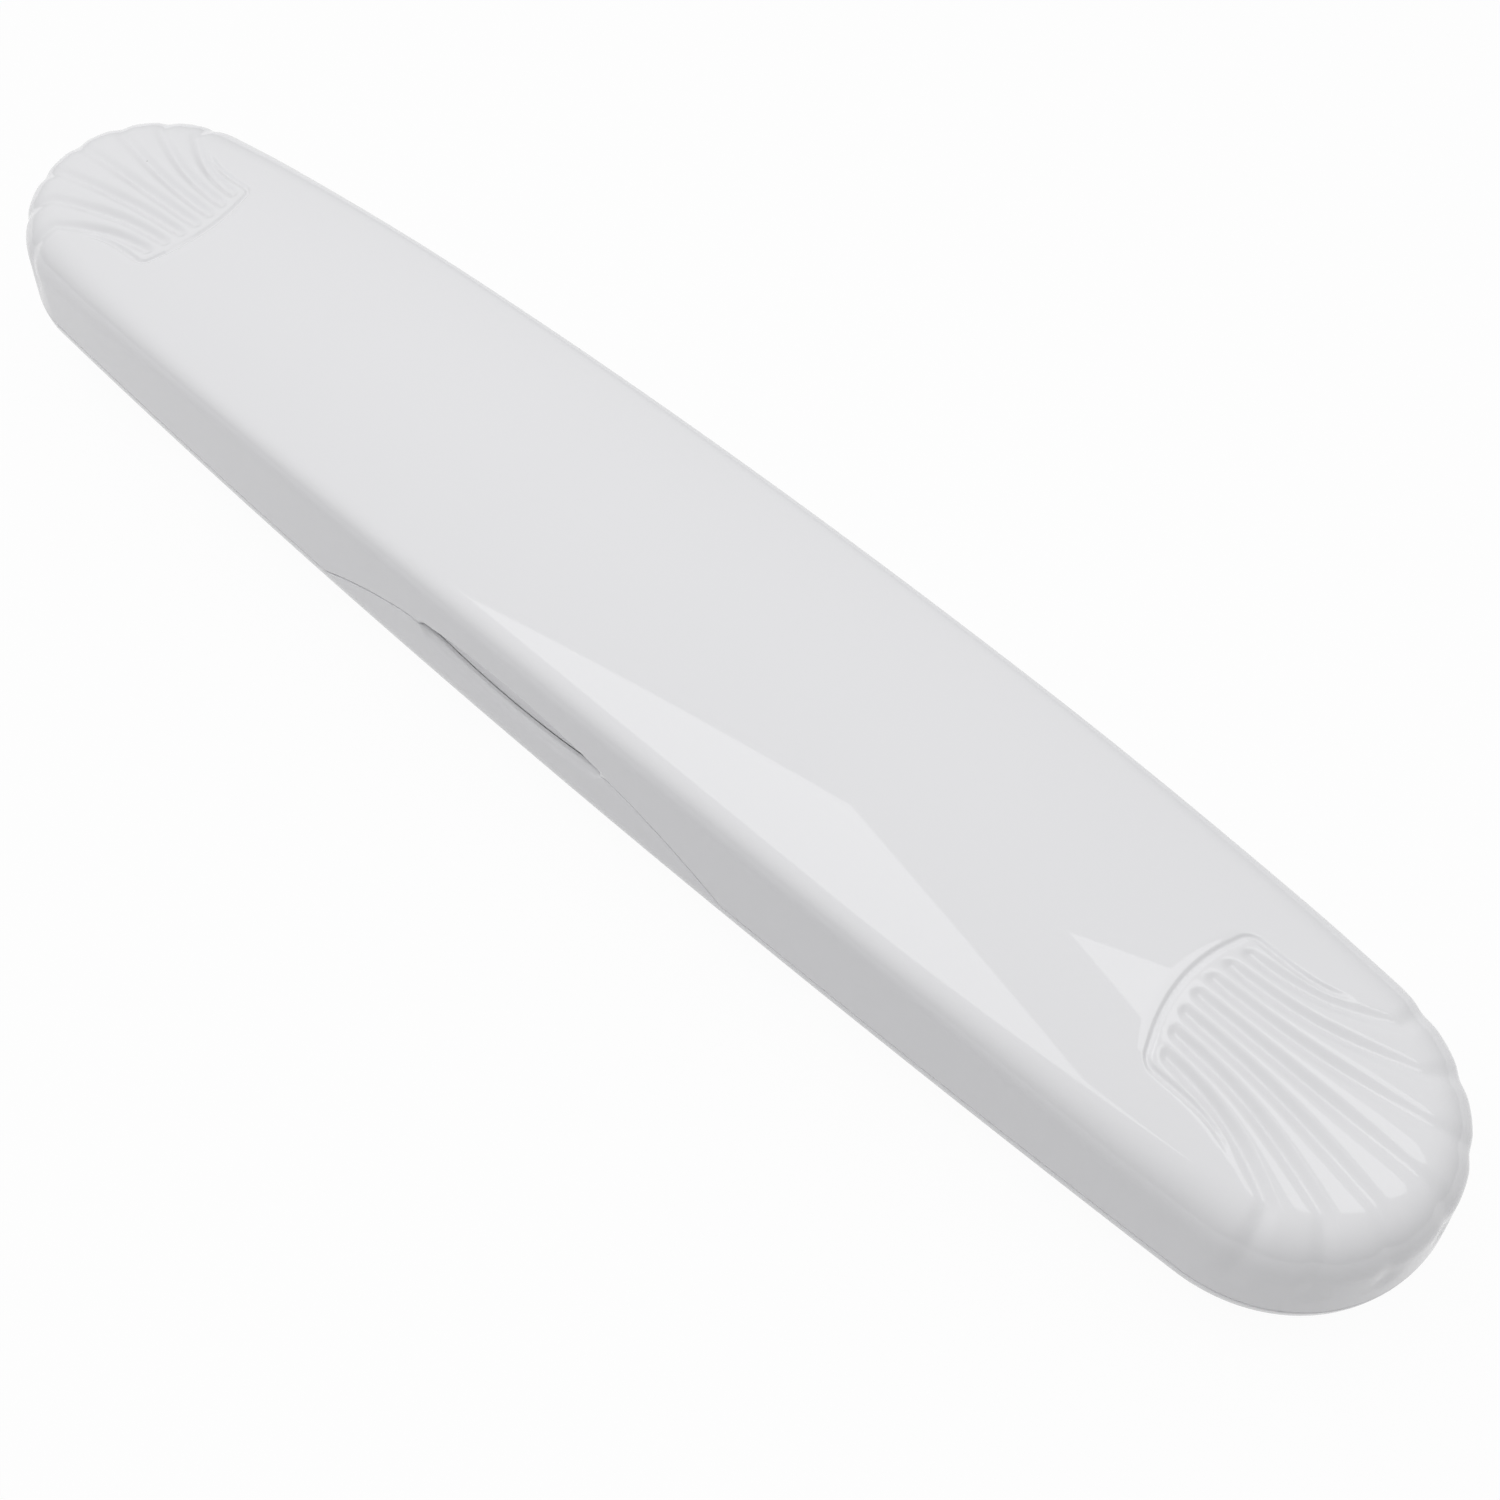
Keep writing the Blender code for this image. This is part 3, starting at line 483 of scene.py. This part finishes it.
def buildLid():
    skin = Skin()
    columns = fanColumns()
    patch, lift, places = shellPatch(columns)
    endRuns = np.array([fanRun(k) for k in places])
    runs, sideCount = ringRuns(endRuns)
    width = len(columns)
    points, normals, start, corner, end = lidSection(runs)
    lean = leanAt(points[:, 0])
    relief = np.concatenate([lift, np.zeros(sideCount), lift, np.zeros(sideCount)])
    rim = lidRim(points)

    def outerRow(offset, height, turn, amount):
        return placed(points, normals, offset - amount * np.cos(turn), height + amount * np.sin(turn))

    rings = []
    edgeBreak, inset = caseForm["edgeBreak"], recessInset(points)
    for turn in (math.pi / 2, math.pi / 4, 0.0):
        height = rim + edgeBreak * (1 - math.sin(turn))
        offset = wallOffset(points, height, inset) + edgeBreak * (1 - math.cos(turn))
        rings.append(skin.ring(placed(points, normals, offset, height)))
    # recess over the thumb's dip, with a soft step out to the wall
    high = recessTop(points)
    for row in range(1, meshFineness["recessRows"] + 1):
        share = row / meshFineness["recessRows"]
        height = rim + edgeBreak + (high - rim - edgeBreak) * share
        depth = inset * (1 + (thumbArch["recessStart"] - 1) * share)
        rings.append(skin.ring(placed(points, normals, wallOffset(points, height, depth), height)))
    for row in range(1, meshFineness["stepRows"] + 1):
        share = row / meshFineness["stepRows"]
        height = high + thumbArch["recessRound"] * share
        offset = wallOffset(points, height, inset * thumbArch["recessStart"] * (1 - ease(share)))
        rings.append(skin.ring(placed(points, normals, offset, height)))
    wallRows = meshFineness["wallRows"]
    low = high + thumbArch["recessRound"]
    for row in range(1, wallRows + 1):
        share = (row / wallRows) ** meshFineness["wallCrowding"]
        height = low + (start[:, 1] - low) * share
        down = start[:, 1] - height
        ended = (down - shellForm["valleyReach"] + shellForm["valleyEnd"]) / shellForm["valleyEnd"]
        amount = relief * ease(1 - ended)
        rings.append(skin.ring(outerRow(wallOffset(points, height, 0.0), height, lean, amount)))
    for row in range(1, meshFineness["roundingRows"] + 1):
        share = row / meshFineness["roundingRows"]
        spot = onRounding(start, corner, end, share)
        turn = lean + share * (math.pi / 2 - lean)
        rings.append(skin.ring(outerRow(spot[:, 0], spot[:, 1], turn, relief)))
    for lower, upper in zip(rings, rings[1:]):
        skin.band(lower, upper)

    # fluted ends
    top = rings[-1]
    borders = []
    for side, first in ((0, 0), (1, width + sideCount)):
        rows = [halfTurn(row) if side else row for row in patch[:-1]]
        grid = [skin.ring(row) for row in rows] + [top[first:first + width]]
        for inner, outer in zip(grid, grid[1:]):
            skin.band(outer, inner, closed=False)
        border = np.concatenate([[row[0] for row in grid[::-1]], grid[0][1:-1], [row[-1] for row in grid]])
        borders.append(border)

    # plain top: lines along the case from each point of one shell's border to the same point of the other
    allPoints = np.concatenate(skin.points)
    nearBorder, farBorder = borders[0], borders[1][::-1]
    back = top[width:width + sideCount]
    front = top[2 * width + sideCount:]
    stations = allPoints[back][:, 0][::-1]
    reachX = allPoints[nearBorder[-1], 0]
    edgeY = allPoints[back][:, 1][::-1]
    lines = [np.concatenate([[farBorder[0]], front, [nearBorder[0]]])]
    for i in range(1, len(nearBorder) - 1):
        spot = allPoints[nearBorder[i]]
        bulge = (edgeY - allPoints[nearBorder[-1], 1]) * (spot[1] / allPoints[nearBorder[-1], 1])
        x = stations * spot[0] / reachX
        y = spot[1] + bulge
        line = skin.ring(np.column_stack([x, y, topHeight(x, y)]))
        lines.append(np.concatenate([[farBorder[i]], line, [nearBorder[i]]]))
    lines.append(np.concatenate([[farBorder[-1]], back[::-1], [nearBorder[-1]]]))
    for lower, upper in zip(lines, lines[1:]):
        skin.band(lower, upper, closed=False)

    # inside: edge, lip and hollow
    wall, lap = caseForm["wall"], lipForm["lap"]
    lipFoot = partingZ - lipForm["length"]
    shaved, same = lipForm["edgeBreak"], np.zeros(len(runs))
    inner = [skin.ring(placed(points, normals, wallOffset(points, rim, lap), rim))]
    for offset, height in ((lap, lipFoot + shaved), (lap + shaved, lipFoot),
                           (wall - shaved, lipFoot), (wall, lipFoot + shaved)):
        inner.append(skin.ring(placed(points, normals, offset + same, height + same)))
    _, _, innerStart, innerCorner, innerEnd = lidSection(runs, wall)
    for share in np.linspace(0, 1, meshFineness["innerRoundings"]):
        spot = onRounding(innerStart, innerCorner, innerEnd, share)
        inner.append(skin.ring(placed(points, normals, spot[:, 0], spot[:, 1])))
    skin.band(inner[0], rings[0])
    for upper, lower in zip(inner, inner[1:]):
        skin.band(lower, upper)
    loop = np.roll(inner[-1], -(width // 2))
    skin.span(loop, meshFineness["across"], lambda x, y: topHeight(x, y) - wall, False)
    return skin.made("lidShell")


trayForm = dict(land=1.2 * mm, lean=math.radians(20.0), rounding=5.0 * mm, tabEdgeBreak=0.05 * mm)


# Offset from the outline of the tray's wall at a height: upright land above, leaning wall below it
def trayOffset(height, inset=0.0):
    return inset + np.maximum(partingZ - trayForm["land"] - height, 0.0) * math.tan(trayForm["lean"])


def buildTray():
    skin = Skin()
    endRuns = np.linspace(-fanRun(shellEdge), fanRun(shellEdge), meshFineness["trayEndColumns"])
    runs, _ = ringRuns(endRuns)
    points, normals = outlineAt(runs)
    rim = baseRim(points)
    same = np.zeros(len(runs))
    landFoot = partingZ - trayForm["land"]
    wall, rebate = caseForm["wall"], lipForm["rebate"]
    rebateFoot = partingZ - lipForm["length"] - lipForm["clearance"]

    def rounding(inset, floor, share):
        corner = np.array([trayOffset(floor, inset), floor])
        reach = trayForm["rounding"] - inset / 2
        up = np.array([-math.sin(trayForm["lean"]), math.cos(trayForm["lean"])])
        return onRounding(corner + up * reach, corner, corner + np.array([reach, 0.0]), share)

    def ringAt(offset, height):
        return skin.ring(placed(points, normals, offset + same, height + same))

    shares = np.linspace(0, 1, meshFineness["trayRoundings"])
    outer = [ringAt(*rounding(0.0, 0.0, share)) for share in shares[::-1]]
    outer.append(ringAt(0.0, landFoot))
    # rounded upper edge, wide where the thumb meets it
    least = caseForm["edgeBreak"] / thumbArch["edgeDrop"]
    size = np.maximum(recessInset(points) / thumbArch["recess"], least)
    low = rim - size * thumbArch["edgeDrop"]
    foot = np.minimum(partingZ, low - caseForm["partingGap"] / 2)
    landRows = meshFineness["trayLandRows"]
    for row in range(landRows):
        height = foot + (low - foot) * row / (landRows - 1)
        outer.append(ringAt(wallOffset(points, height, 0.0), height))
    edgeStart = np.stack([wallOffset(points, low, 0.0), low], -1)
    edgeCorner = np.stack([wallOffset(points, rim, 0.0), rim], -1)
    edgeEnd = edgeCorner + np.stack([size * thumbArch["edgeRound"], same], -1)
    for share in np.linspace(0, 1, meshFineness["trayEdges"])[1:]:
        spot = onRounding(edgeStart, edgeCorner, edgeEnd, share)
        outer.append(ringAt(spot[:, 0], spot[:, 1]))
    # inner face, which curves like the swing of the lid's lip about the hinge line
    swing = halfWidth + hingeY
    inFoot = partingZ - caseForm["partingGap"]
    shaved = trayForm["tabEdgeBreak"]
    topOffset = rebate + (rim - inFoot) ** 2 / (2 * swing)
    inner = [ringAt(topOffset - shaved, rim), ringAt(topOffset, rim - shaved)]
    for share in meshFineness["tabShares"]:
        rise = share * (rim - inFoot)
        inner.append(ringAt(rebate + rise**2 / (2 * swing), inFoot + rise))
    inner += [ringAt(rebate, rebateFoot), ringAt(trayOffset(rebateFoot, wall), rebateFoot)]
    inner += [ringAt(*rounding(wall, wall, share)) for share in shares]
    for lower, upper in zip(outer, outer[1:]):
        skin.band(lower, upper)
    skin.band(outer[-1], inner[0])
    for lower, upper in zip(inner, inner[1:]):
        skin.band(lower, upper)
    half, across = len(endRuns) // 2, meshFineness["trayAcross"]
    skin.span(np.roll(outer[0], -half), across, lambda x, y: 0 * x, False)
    skin.span(np.roll(inner[-1], -half), across, lambda x, y: 0 * x + wall, True)
    return skin.made("baseTray")


hingeForm = dict(
    length=pinBoxes["right"][1].x - pinBoxes["right"][0].x,
    standoff=1.6 * mm,        # from the base's wall to the hinge line
    knuckleRadius=1.8 * mm,
    gap=0.3 * mm,
    lidShare=0.4,             # share of the hinge's length that the lid's knuckle takes
    pinRadius=(pinBoxes["right"][1].z - pinBoxes["right"][0].z) / 2,
    pinClearance=0.1 * mm,
    pinEdgeBreak=0.12 * mm,
    armDepth=0.6 * mm,        # how far the knuckles' arms run into the wall
    openAngle=math.radians(frame["joints"][0]["range_deg"][1]),
    heelReach=2.4 * mm,
    heelThickness=0.9 * mm,
    stopGap=0.1 * mm,
    sides=64,
    edgeBreak=0.15 * mm,
    heelInset=0.225 * mm,     # from the knuckle's ends to the heel's
    bite=0.05 * mm,           # how far the knuckles' ends run into the walls beside the pockets
)
hingeCentres = [(low.x + high.x) / 2 for low, high in pinBoxes.values()]


def cylinderAlongX(name, radius, length, centre, breakEdge=0.0):
    cylinder = bmesh.new()
    bmesh.ops.create_cone(cylinder, cap_ends=True, segments=hingeForm["sides"],
                          radius1=radius, radius2=radius, depth=length)
    if breakEdge:
        rims = [edge for edge in cylinder.edges if abs(edge.verts[0].co.z - edge.verts[1].co.z) < 1e-9]
        bmesh.ops.bevel(cylinder, geom=rims, offset=breakEdge, segments=2, profile=0.5, affect="EDGES")
    cylinder.transform(Matrix.Translation(centre) @ Matrix.Rotation(math.pi / 2, 4, "Y"))
    return meshPiece(name, cylinder)


def blockBetween(name, low, high):
    block = bmesh.new()
    bmesh.ops.create_cube(block, size=1.0)
    size = Vector(high) - Vector(low)
    block.transform(Matrix.Translation((Vector(high) + Vector(low)) / 2) @ Matrix.Diagonal((*size, 1.0)))
    return meshPiece(name, block)


def meshPiece(name, shape):
    mesh = bpy.data.meshes.new(name)
    shape.to_mesh(mesh)
    shape.free()
    piece = bpy.data.objects.new(name, mesh)
    bpy.context.scene.collection.objects.link(piece)
    return piece


# Knuckle with its arm into the wall, one profile drawn out along X; up tells the arm's side of the parting line
def knuckleAlongX(length, middle, innerY, up):
    radius, halfGap = hingeForm["knuckleRadius"], caseForm["partingGap"] / 2
    first, last = math.pi - math.asin(halfGap / radius), 2.5 * math.pi
    count = round(hingeForm["sides"] * (last - first) / (2 * math.pi))
    turns = [first + (last - first) * i / count for i in range(count + 1)]
    arc = [(middle[1] + radius * math.cos(turn), radius * math.sin(turn)) for turn in turns]
    profile = [(innerY, halfGap)] + arc + [(innerY, radius)]
    knuckle = bmesh.new()
    ends = []
    for side in (-1, 1):
        x = middle[0] + side * length / 2
        ends.append([knuckle.verts.new((x, y, middle[2] + up * z)) for y, z in profile])
    for i in range(len(profile)):
        after = (i + 1) % len(profile)
        knuckle.faces.new((ends[0][i], ends[0][after], ends[1][after], ends[1][i]))
    caps = [knuckle.faces.new(end) for end in ends]
    rims = [edge for cap in caps for edge in cap.edges]
    bmesh.ops.bevel(knuckle, geom=rims, offset=hingeForm["edgeBreak"], segments=2, profile=0.5, affect="EDGES")
    bmesh.ops.recalc_face_normals(knuckle, faces=knuckle.faces[:])
    return meshPiece("knuckle", knuckle)


# Knuckles, heel, pockets and bores of both hinges, by the shell they shape
def hingeTools():
    tools = {(shell, job): [] for shell in ("lid", "base") for job in ("pockets", "knuckles", "bores")}
    radius, gap, bite = hingeForm["knuckleRadius"], hingeForm["gap"], hingeForm["bite"]
    innerY = hingeY - hingeForm["standoff"] - hingeForm["armDepth"]
    lidLength = hingeForm["length"] * hingeForm["lidShare"]
    baseLength = (hingeForm["length"] - lidLength) / 2 - gap
    away = lidLength / 2 + gap + baseLength / 2
    knuckles = ((-away, baseLength, "base", "lid", -1), (0, lidLength, "lid", "base", 1),
                (away, baseLength, "base", "lid", -1))
    for x in hingeCentres:
        for shift, length, owner, other, up in knuckles:
            middle = (x + shift, hingeY, partingZ)
            tools[owner, "knuckles"].append(knuckleAlongX(length, middle, innerY, up))
            pocketLength = length + 2 * (gap - bite)
            tools[other, "pockets"].append(cylinderAlongX("pocket", radius + gap, pocketLength, middle))
        # heel: it meets the base's leaning wall when the lid is fully open
        slope = math.tan(trayForm["lean"])
        wallTop = hingeForm["standoff"] - hingeForm["stopGap"] - trayForm["land"] * slope
        reachDown = math.sqrt(hingeForm["heelReach"] ** 2 * (1 + slope**2) - wallTop**2)
        reachDown = (reachDown - wallTop * slope) / (1 + slope**2)
        wallAway = wallTop + slope * reachDown
        lead = hingeForm["openAngle"] - math.pi / 2 - math.atan2(wallAway, reachDown)
        farY = hingeY + hingeForm["heelReach"] * math.cos(lead)
        heelZ = partingZ + hingeForm["heelReach"] * math.sin(lead)
        inset = hingeForm["heelInset"]
        low = (x - lidLength / 2 + inset, hingeY + radius / 2, heelZ)
        high = (x + lidLength / 2 - inset, farY, heelZ + hingeForm["heelThickness"])
        tools["lid", "knuckles"].append(blockBetween("heel", low, high))
        bore = hingeForm["pinRadius"] + hingeForm["pinClearance"]
        boreLength = hingeForm["length"] + 4 * gap
        for shell in ("lid", "base"):
            tools[shell, "bores"].append(cylinderAlongX("bore", bore, boreLength, (x, hingeY, partingZ)))
    return tools


# Boolean with a list of tool objects, applied to the piece's mesh; the tools are removed
def shaped(piece, tools, operation):
    for tool in tools:
        modifier = piece.modifiers.new(tool.name, "BOOLEAN")
        modifier.operation = operation
        modifier.solver = "EXACT"
        modifier.object = tool
    bpy.context.view_layer.update()
    result = bpy.data.meshes.new_from_object(piece.evaluated_get(bpy.context.evaluated_depsgraph_get()))
    piece.modifiers.clear()
    piece.data = result
    for tool in tools:
        bpy.data.objects.remove(tool)


lidShell = buildLid()
print("lid surface:", len(lidShell.data.polygons), "faces")
baseTray = buildTray()
print("base surface:", len(baseTray.data.polygons), "faces")
tools = hingeTools()
for piece, shell in ((lidShell, "lid"), (baseTray, "base")):
    for job, operation in (("pockets", "DIFFERENCE"), ("knuckles", "UNION"), ("bores", "DIFFERENCE")):
        shaped(piece, tools[shell, job], operation)
    finishShading(piece)
print("hinges cut into both shells")

pins = {}
for side, (low, high) in pinBoxes.items():
    pins[side] = cylinderAlongX(f"hingePin{side.capitalize()}", hingeForm["pinRadius"],
                                high.x - low.x, (low + high) / 2, hingeForm["pinEdgeBreak"])
    finishShading(pins[side])


# Sockets as numbers: an expression on them adds its Math nodes
class Value:
    def __init__(self, tree, socket):
        self.tree, self.socket = tree, socket

    def combine(self, other, operation, swapped=False):
        node = self.tree.nodes.new("ShaderNodeMath")
        node.operation = operation
        pair = (other, self) if swapped else (self, other)
        for slot, item in zip(node.inputs, pair):
            if isinstance(item, Value):
                self.tree.links.new(item.socket, slot)
            else:
                slot.default_value = item
        return Value(self.tree, node.outputs[0])

    def __add__(self, other):
        return self.combine(other, "ADD")

    def __rsub__(self, other):
        return self.combine(other, "SUBTRACT", True)

    def __mul__(self, other):
        return self.combine(other, "MULTIPLY")

    def __gt__(self, other):
        return self.combine(other, "GREATER_THAN")

    def __lt__(self, other):
        return self.combine(other, "LESS_THAN")


# One material or world tree, with one method for any other node
class Shading:
    def __init__(self, tree):
        self.tree = tree
        tree.nodes.clear()

    def node(self, kind, settings=None, output=0, **inputs):
        made = self.tree.nodes.new(kind)
        for name, value in (settings or {}).items():
            setattr(made, name, value)
        for name, value in inputs.items():
            numbered = name[0] == "i" and name[1:].isdigit()
            slot = made.inputs[int(name[1:]) if numbered else name.replace("_", " ")]
            if isinstance(value, Value):
                self.tree.links.new(value.socket, slot)
            else:
                slot.default_value = value
        return Value(self.tree, made.outputs[output]) if made.outputs else None

    def mixed(self, factor, first, second):
        return self.node("ShaderNodeMix", dict(data_type="RGBA"), 2, i0=factor, i6=first, i7=second)


def newMaterial(name):
    material = bpy.data.materials.new(name)
    material.use_nodes = True
    return material, Shading(material.node_tree)


whitePlastic = dict(
    color=(0.807, 0.807, 0.822, 1.0),
    cloudColor=(0.793, 0.794, 0.81, 1.0),
    cloudScale=28.0,
    roughness=0.015,
    scuffRoughness=0.04,
    scuffScale=420.0,
    waviness=0.02,
    wavinessScale=60.0,
    wavinessDepth=0.2 * mm,
    speckColor=(0.22, 0.21, 0.20, 1.0),
    speckScale=55.0,
    speckSize=0.012,
    speckShare=0.035,
    speckStrength=0.8,
)


# Moulded gloss plastic: faint clouding, slow waviness from the mould, hairline scuffs and dust specks
def plasticMaterial(name, seed):
    material, shading = newMaterial(name)
    place = shading.node("ShaderNodeTexCoord", output=3)
    shifted = shading.node("ShaderNodeMapping", Vector=place, Location=(seed, seed * 0.7, seed * 0.3))
    cloud = shading.node("ShaderNodeTexNoise", Vector=shifted, Scale=whitePlastic["cloudScale"], Detail=2.0)
    fine = shading.node("ShaderNodeTexNoise", Vector=shifted, Scale=whitePlastic["scuffScale"], Detail=3.0)
    cell, cellColor = (shading.node("ShaderNodeTexVoronoi", dict(feature="F1"), output, Vector=shifted,
                                    Scale=whitePlastic["speckScale"]) for output in (0, 1))
    chosen = shading.node("ShaderNodeSeparateColor", Color=cellColor) < whitePlastic["speckShare"]
    speck = (cell < whitePlastic["speckSize"]) * chosen
    color = shading.mixed(cloud, whitePlastic["color"], whitePlastic["cloudColor"])
    color = shading.mixed(speck * whitePlastic["speckStrength"], color, whitePlastic["speckColor"])
    rougher = whitePlastic["scuffRoughness"] - whitePlastic["roughness"]
    roughness = fine * rougher + whitePlastic["roughness"]
    wave = shading.node("ShaderNodeTexNoise", Vector=shifted, Scale=whitePlastic["wavinessScale"], Detail=1.0)
    bump = shading.node("ShaderNodeBump", Height=wave, Strength=whitePlastic["waviness"],
                        Distance=whitePlastic["wavinessDepth"])
    surface = shading.node("ShaderNodeBsdfPrincipled", Base_Color=color, Roughness=roughness,
                           Normal=bump, IOR=1.5)
    shading.node("ShaderNodeOutputMaterial", Surface=surface)
    return material


pinSteel = dict(
    color=(0.62, 0.62, 0.63, 1.0),
    lineColor=(0.50, 0.50, 0.51, 1.0),
    roughness=0.26,
    lineRoughness=0.36,
    lineScale=(60.0, 2600.0, 2600.0),
    lineStrength=0.08,
    lineDepth=0.02 * mm,
)


# Drawn steel wire: fine lines run along the pin
def steelMaterial():
    material, shading = newMaterial("hingeSteel")
    place = shading.node("ShaderNodeTexCoord", output=3)
    stretched = shading.node("ShaderNodeMapping", Vector=place, Scale=pinSteel["lineScale"])
    lines = shading.node("ShaderNodeTexNoise", Vector=stretched, Scale=1.0, Detail=3.0)
    color = shading.mixed(lines, pinSteel["color"], pinSteel["lineColor"])
    roughness = lines * (pinSteel["lineRoughness"] - pinSteel["roughness"]) + pinSteel["roughness"]
    bump = shading.node("ShaderNodeBump", Height=lines, Strength=pinSteel["lineStrength"],
                        Distance=pinSteel["lineDepth"])
    surface = shading.node("ShaderNodeBsdfPrincipled", Base_Color=color, Roughness=roughness,
                           Metallic=1.0, Normal=bump)
    shading.node("ShaderNodeOutputMaterial", Surface=surface)
    return material


lidShell.data.materials.clear()
lidShell.data.materials.append(plasticMaterial("lidPlastic", 0.0))
baseTray.data.materials.clear()
baseTray.data.materials.append(plasticMaterial("basePlastic", 3.1))
steel = steelMaterial()
for pin in pins.values():
    pin.data.materials.append(steel)

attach(lidShell, "lid")
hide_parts("lid")
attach(baseTray, "base")
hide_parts("base")
for side, pin in pins.items():
    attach(pin, "base")
    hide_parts(f"hinge_pin_{side}")
print("pieces:", [lidShell.name, baseTray.name] + [pin.name for pin in pins.values()])

studio = dict(
    floorSize=3.0,
    floorColor=(0.74, 0.74, 0.75, 1.0),
    floorShown=(1.0, 1.0, 1.0, 1.0),
    horizonLight=0.24,
    zenithLight=0.94,
    floorInView=0.95,         # share of its full white that the floor shows to the camera
    floorInGloss=0.7,         # and in the case's gloss
    endShift=0.55,            # how much of the dome's light leaves from its near end for the far one
    backShift=0.25,           # and from its front for its back
)

floorMesh = bmesh.new()
bmesh.ops.create_grid(floorMesh, x_segments=1, y_segments=1, size=studio["floorSize"] / 2)
floor = meshPiece("floor", floorMesh)
material, shading = newMaterial("paleFloor")
shownToCamera, shownInGloss = (shading.node("ShaderNodeLightPath", output=i) for i in (0, 3))
diffuse = shading.node("ShaderNodeBsdfDiffuse", Color=studio["floorColor"])
glow = shading.node("ShaderNodeEmission", Color=studio["floorShown"], Strength=1.0)
white = shownToCamera * studio["floorInView"] + shownInGloss * studio["floorInGloss"]
mixed = shading.node("ShaderNodeMixShader", i0=white, i1=diffuse, i2=glow)
shading.node("ShaderNodeOutputMaterial", Surface=mixed)
floor.data.materials.append(material)

# Soft dome: plain light that grows towards the zenith, white where the camera looks past the floor
world = bpy.data.worlds.new("softDome")
bpy.context.scene.world = world
world.use_nodes = True
shading = Shading(world.node_tree)
direction = shading.node("ShaderNodeTexCoord", output=0)
height = shading.node("ShaderNodeSeparateXYZ", output=2, Vector=direction)
height = shading.node("ShaderNodeMath", dict(operation="MAXIMUM"), i0=height, i1=0.0)
light = height * (studio["zenithLight"] - studio["horizonLight"]) + studio["horizonLight"]
towardsEnd = shading.node("ShaderNodeSeparateXYZ", output=0, Vector=direction)
towardsBack = shading.node("ShaderNodeSeparateXYZ", output=1, Vector=direction)
light = light * (1.0 - towardsEnd * studio["endShift"] + towardsBack * studio["backShift"])
shown = shading.node("ShaderNodeLightPath", output=0)
strength = shown * (1.0 - light) + light
background = shading.node("ShaderNodeBackground", Color=(1.0, 1.0, 1.0, 1.0), Strength=strength)
shading.node("ShaderNodeOutputWorld", Surface=background)


# Flat glowing sheets over the case: two window panes, seen in its gloss, and a fill light that isn't
lightHeight = 0.6
lightSheets = dict(
    windowLeft=dict(
        corners=((-0.39, -0.072), (-0.081, 0.102), (0.21, -0.072)), light=1.6, inGloss=True),
    windowRight=dict(
        corners=((0.058, 0.187), (0.263, 0.044), (0.4, 0.252), (0.196, 0.396)), light=1.52, inGloss=True),
    fill=dict(
        corners=((-0.39, -0.08), (-0.53, -0.15), (-0.19, -0.357), (0.254, -0.122)), light=1.6, inGloss=False),
)

for name, sheet in lightSheets.items():
    outline = bmesh.new()
    outline.faces.new([outline.verts.new((*corner, lightHeight)) for corner in sheet["corners"]])
    piece = meshPiece(name, outline)
    material, shading = newMaterial(f"{name}Light")
    hidden = shading.node("ShaderNodeLightPath", output=0)
    if not sheet["inGloss"]:
        hidden = hidden + shading.node("ShaderNodeLightPath", output=3)
    glow = shading.node("ShaderNodeEmission", Strength=sheet["light"])
    clear = shading.node("ShaderNodeBsdfTransparent")
    both = shading.node("ShaderNodeAddShader", i0=glow, i1=clear)
    seen = shading.node("ShaderNodeMixShader", i0=hidden, i1=both, i2=clear)
    shading.node("ShaderNodeOutputMaterial", Surface=seen)
    piece.data.materials.append(material)

camera = dict(
    target=(22.39 * mm, -4.38 * mm, 12.0 * mm),
    azimuth=math.radians(44.21),
    elevation=math.radians(60.99),
    roll=math.radians(-1.83),
    distance=173.44 * mm,
    pixelFocus=1595.0,
    imageSize=1500.0,
    sensorWidth=36.0,
    clip=(0.005, 20.0),
)

photoCamera = bpy.data.objects.new("photoCamera", bpy.data.cameras.new("photoCamera"))
bpy.context.scene.collection.objects.link(photoCamera)
azimuth, elevation = camera["azimuth"], camera["elevation"]
back = Vector((math.sin(azimuth) * math.cos(elevation), -math.cos(azimuth) * math.cos(elevation),
               math.sin(elevation)))
right = Vector((math.cos(azimuth), math.sin(azimuth), 0.0))
up = back.cross(right)
cosRoll, sinRoll = math.cos(camera["roll"]), math.sin(camera["roll"])
right, up = right * cosRoll + up * sinRoll, up * cosRoll - right * sinRoll
turn = Matrix((right, up, back)).transposed().to_4x4()
photoCamera.matrix_world = Matrix.Translation(Vector(camera["target"]) + back * camera["distance"]) @ turn
photoCamera.data.sensor_width = camera["sensorWidth"]
photoCamera.data.lens = camera["pixelFocus"] / camera["imageSize"] * camera["sensorWidth"]
photoCamera.data.clip_start, photoCamera.data.clip_end = camera["clip"]
bpy.context.scene.camera = photoCamera
bpy.context.scene.view_settings.view_transform = "Standard"

bpy.context.view_layer.update()
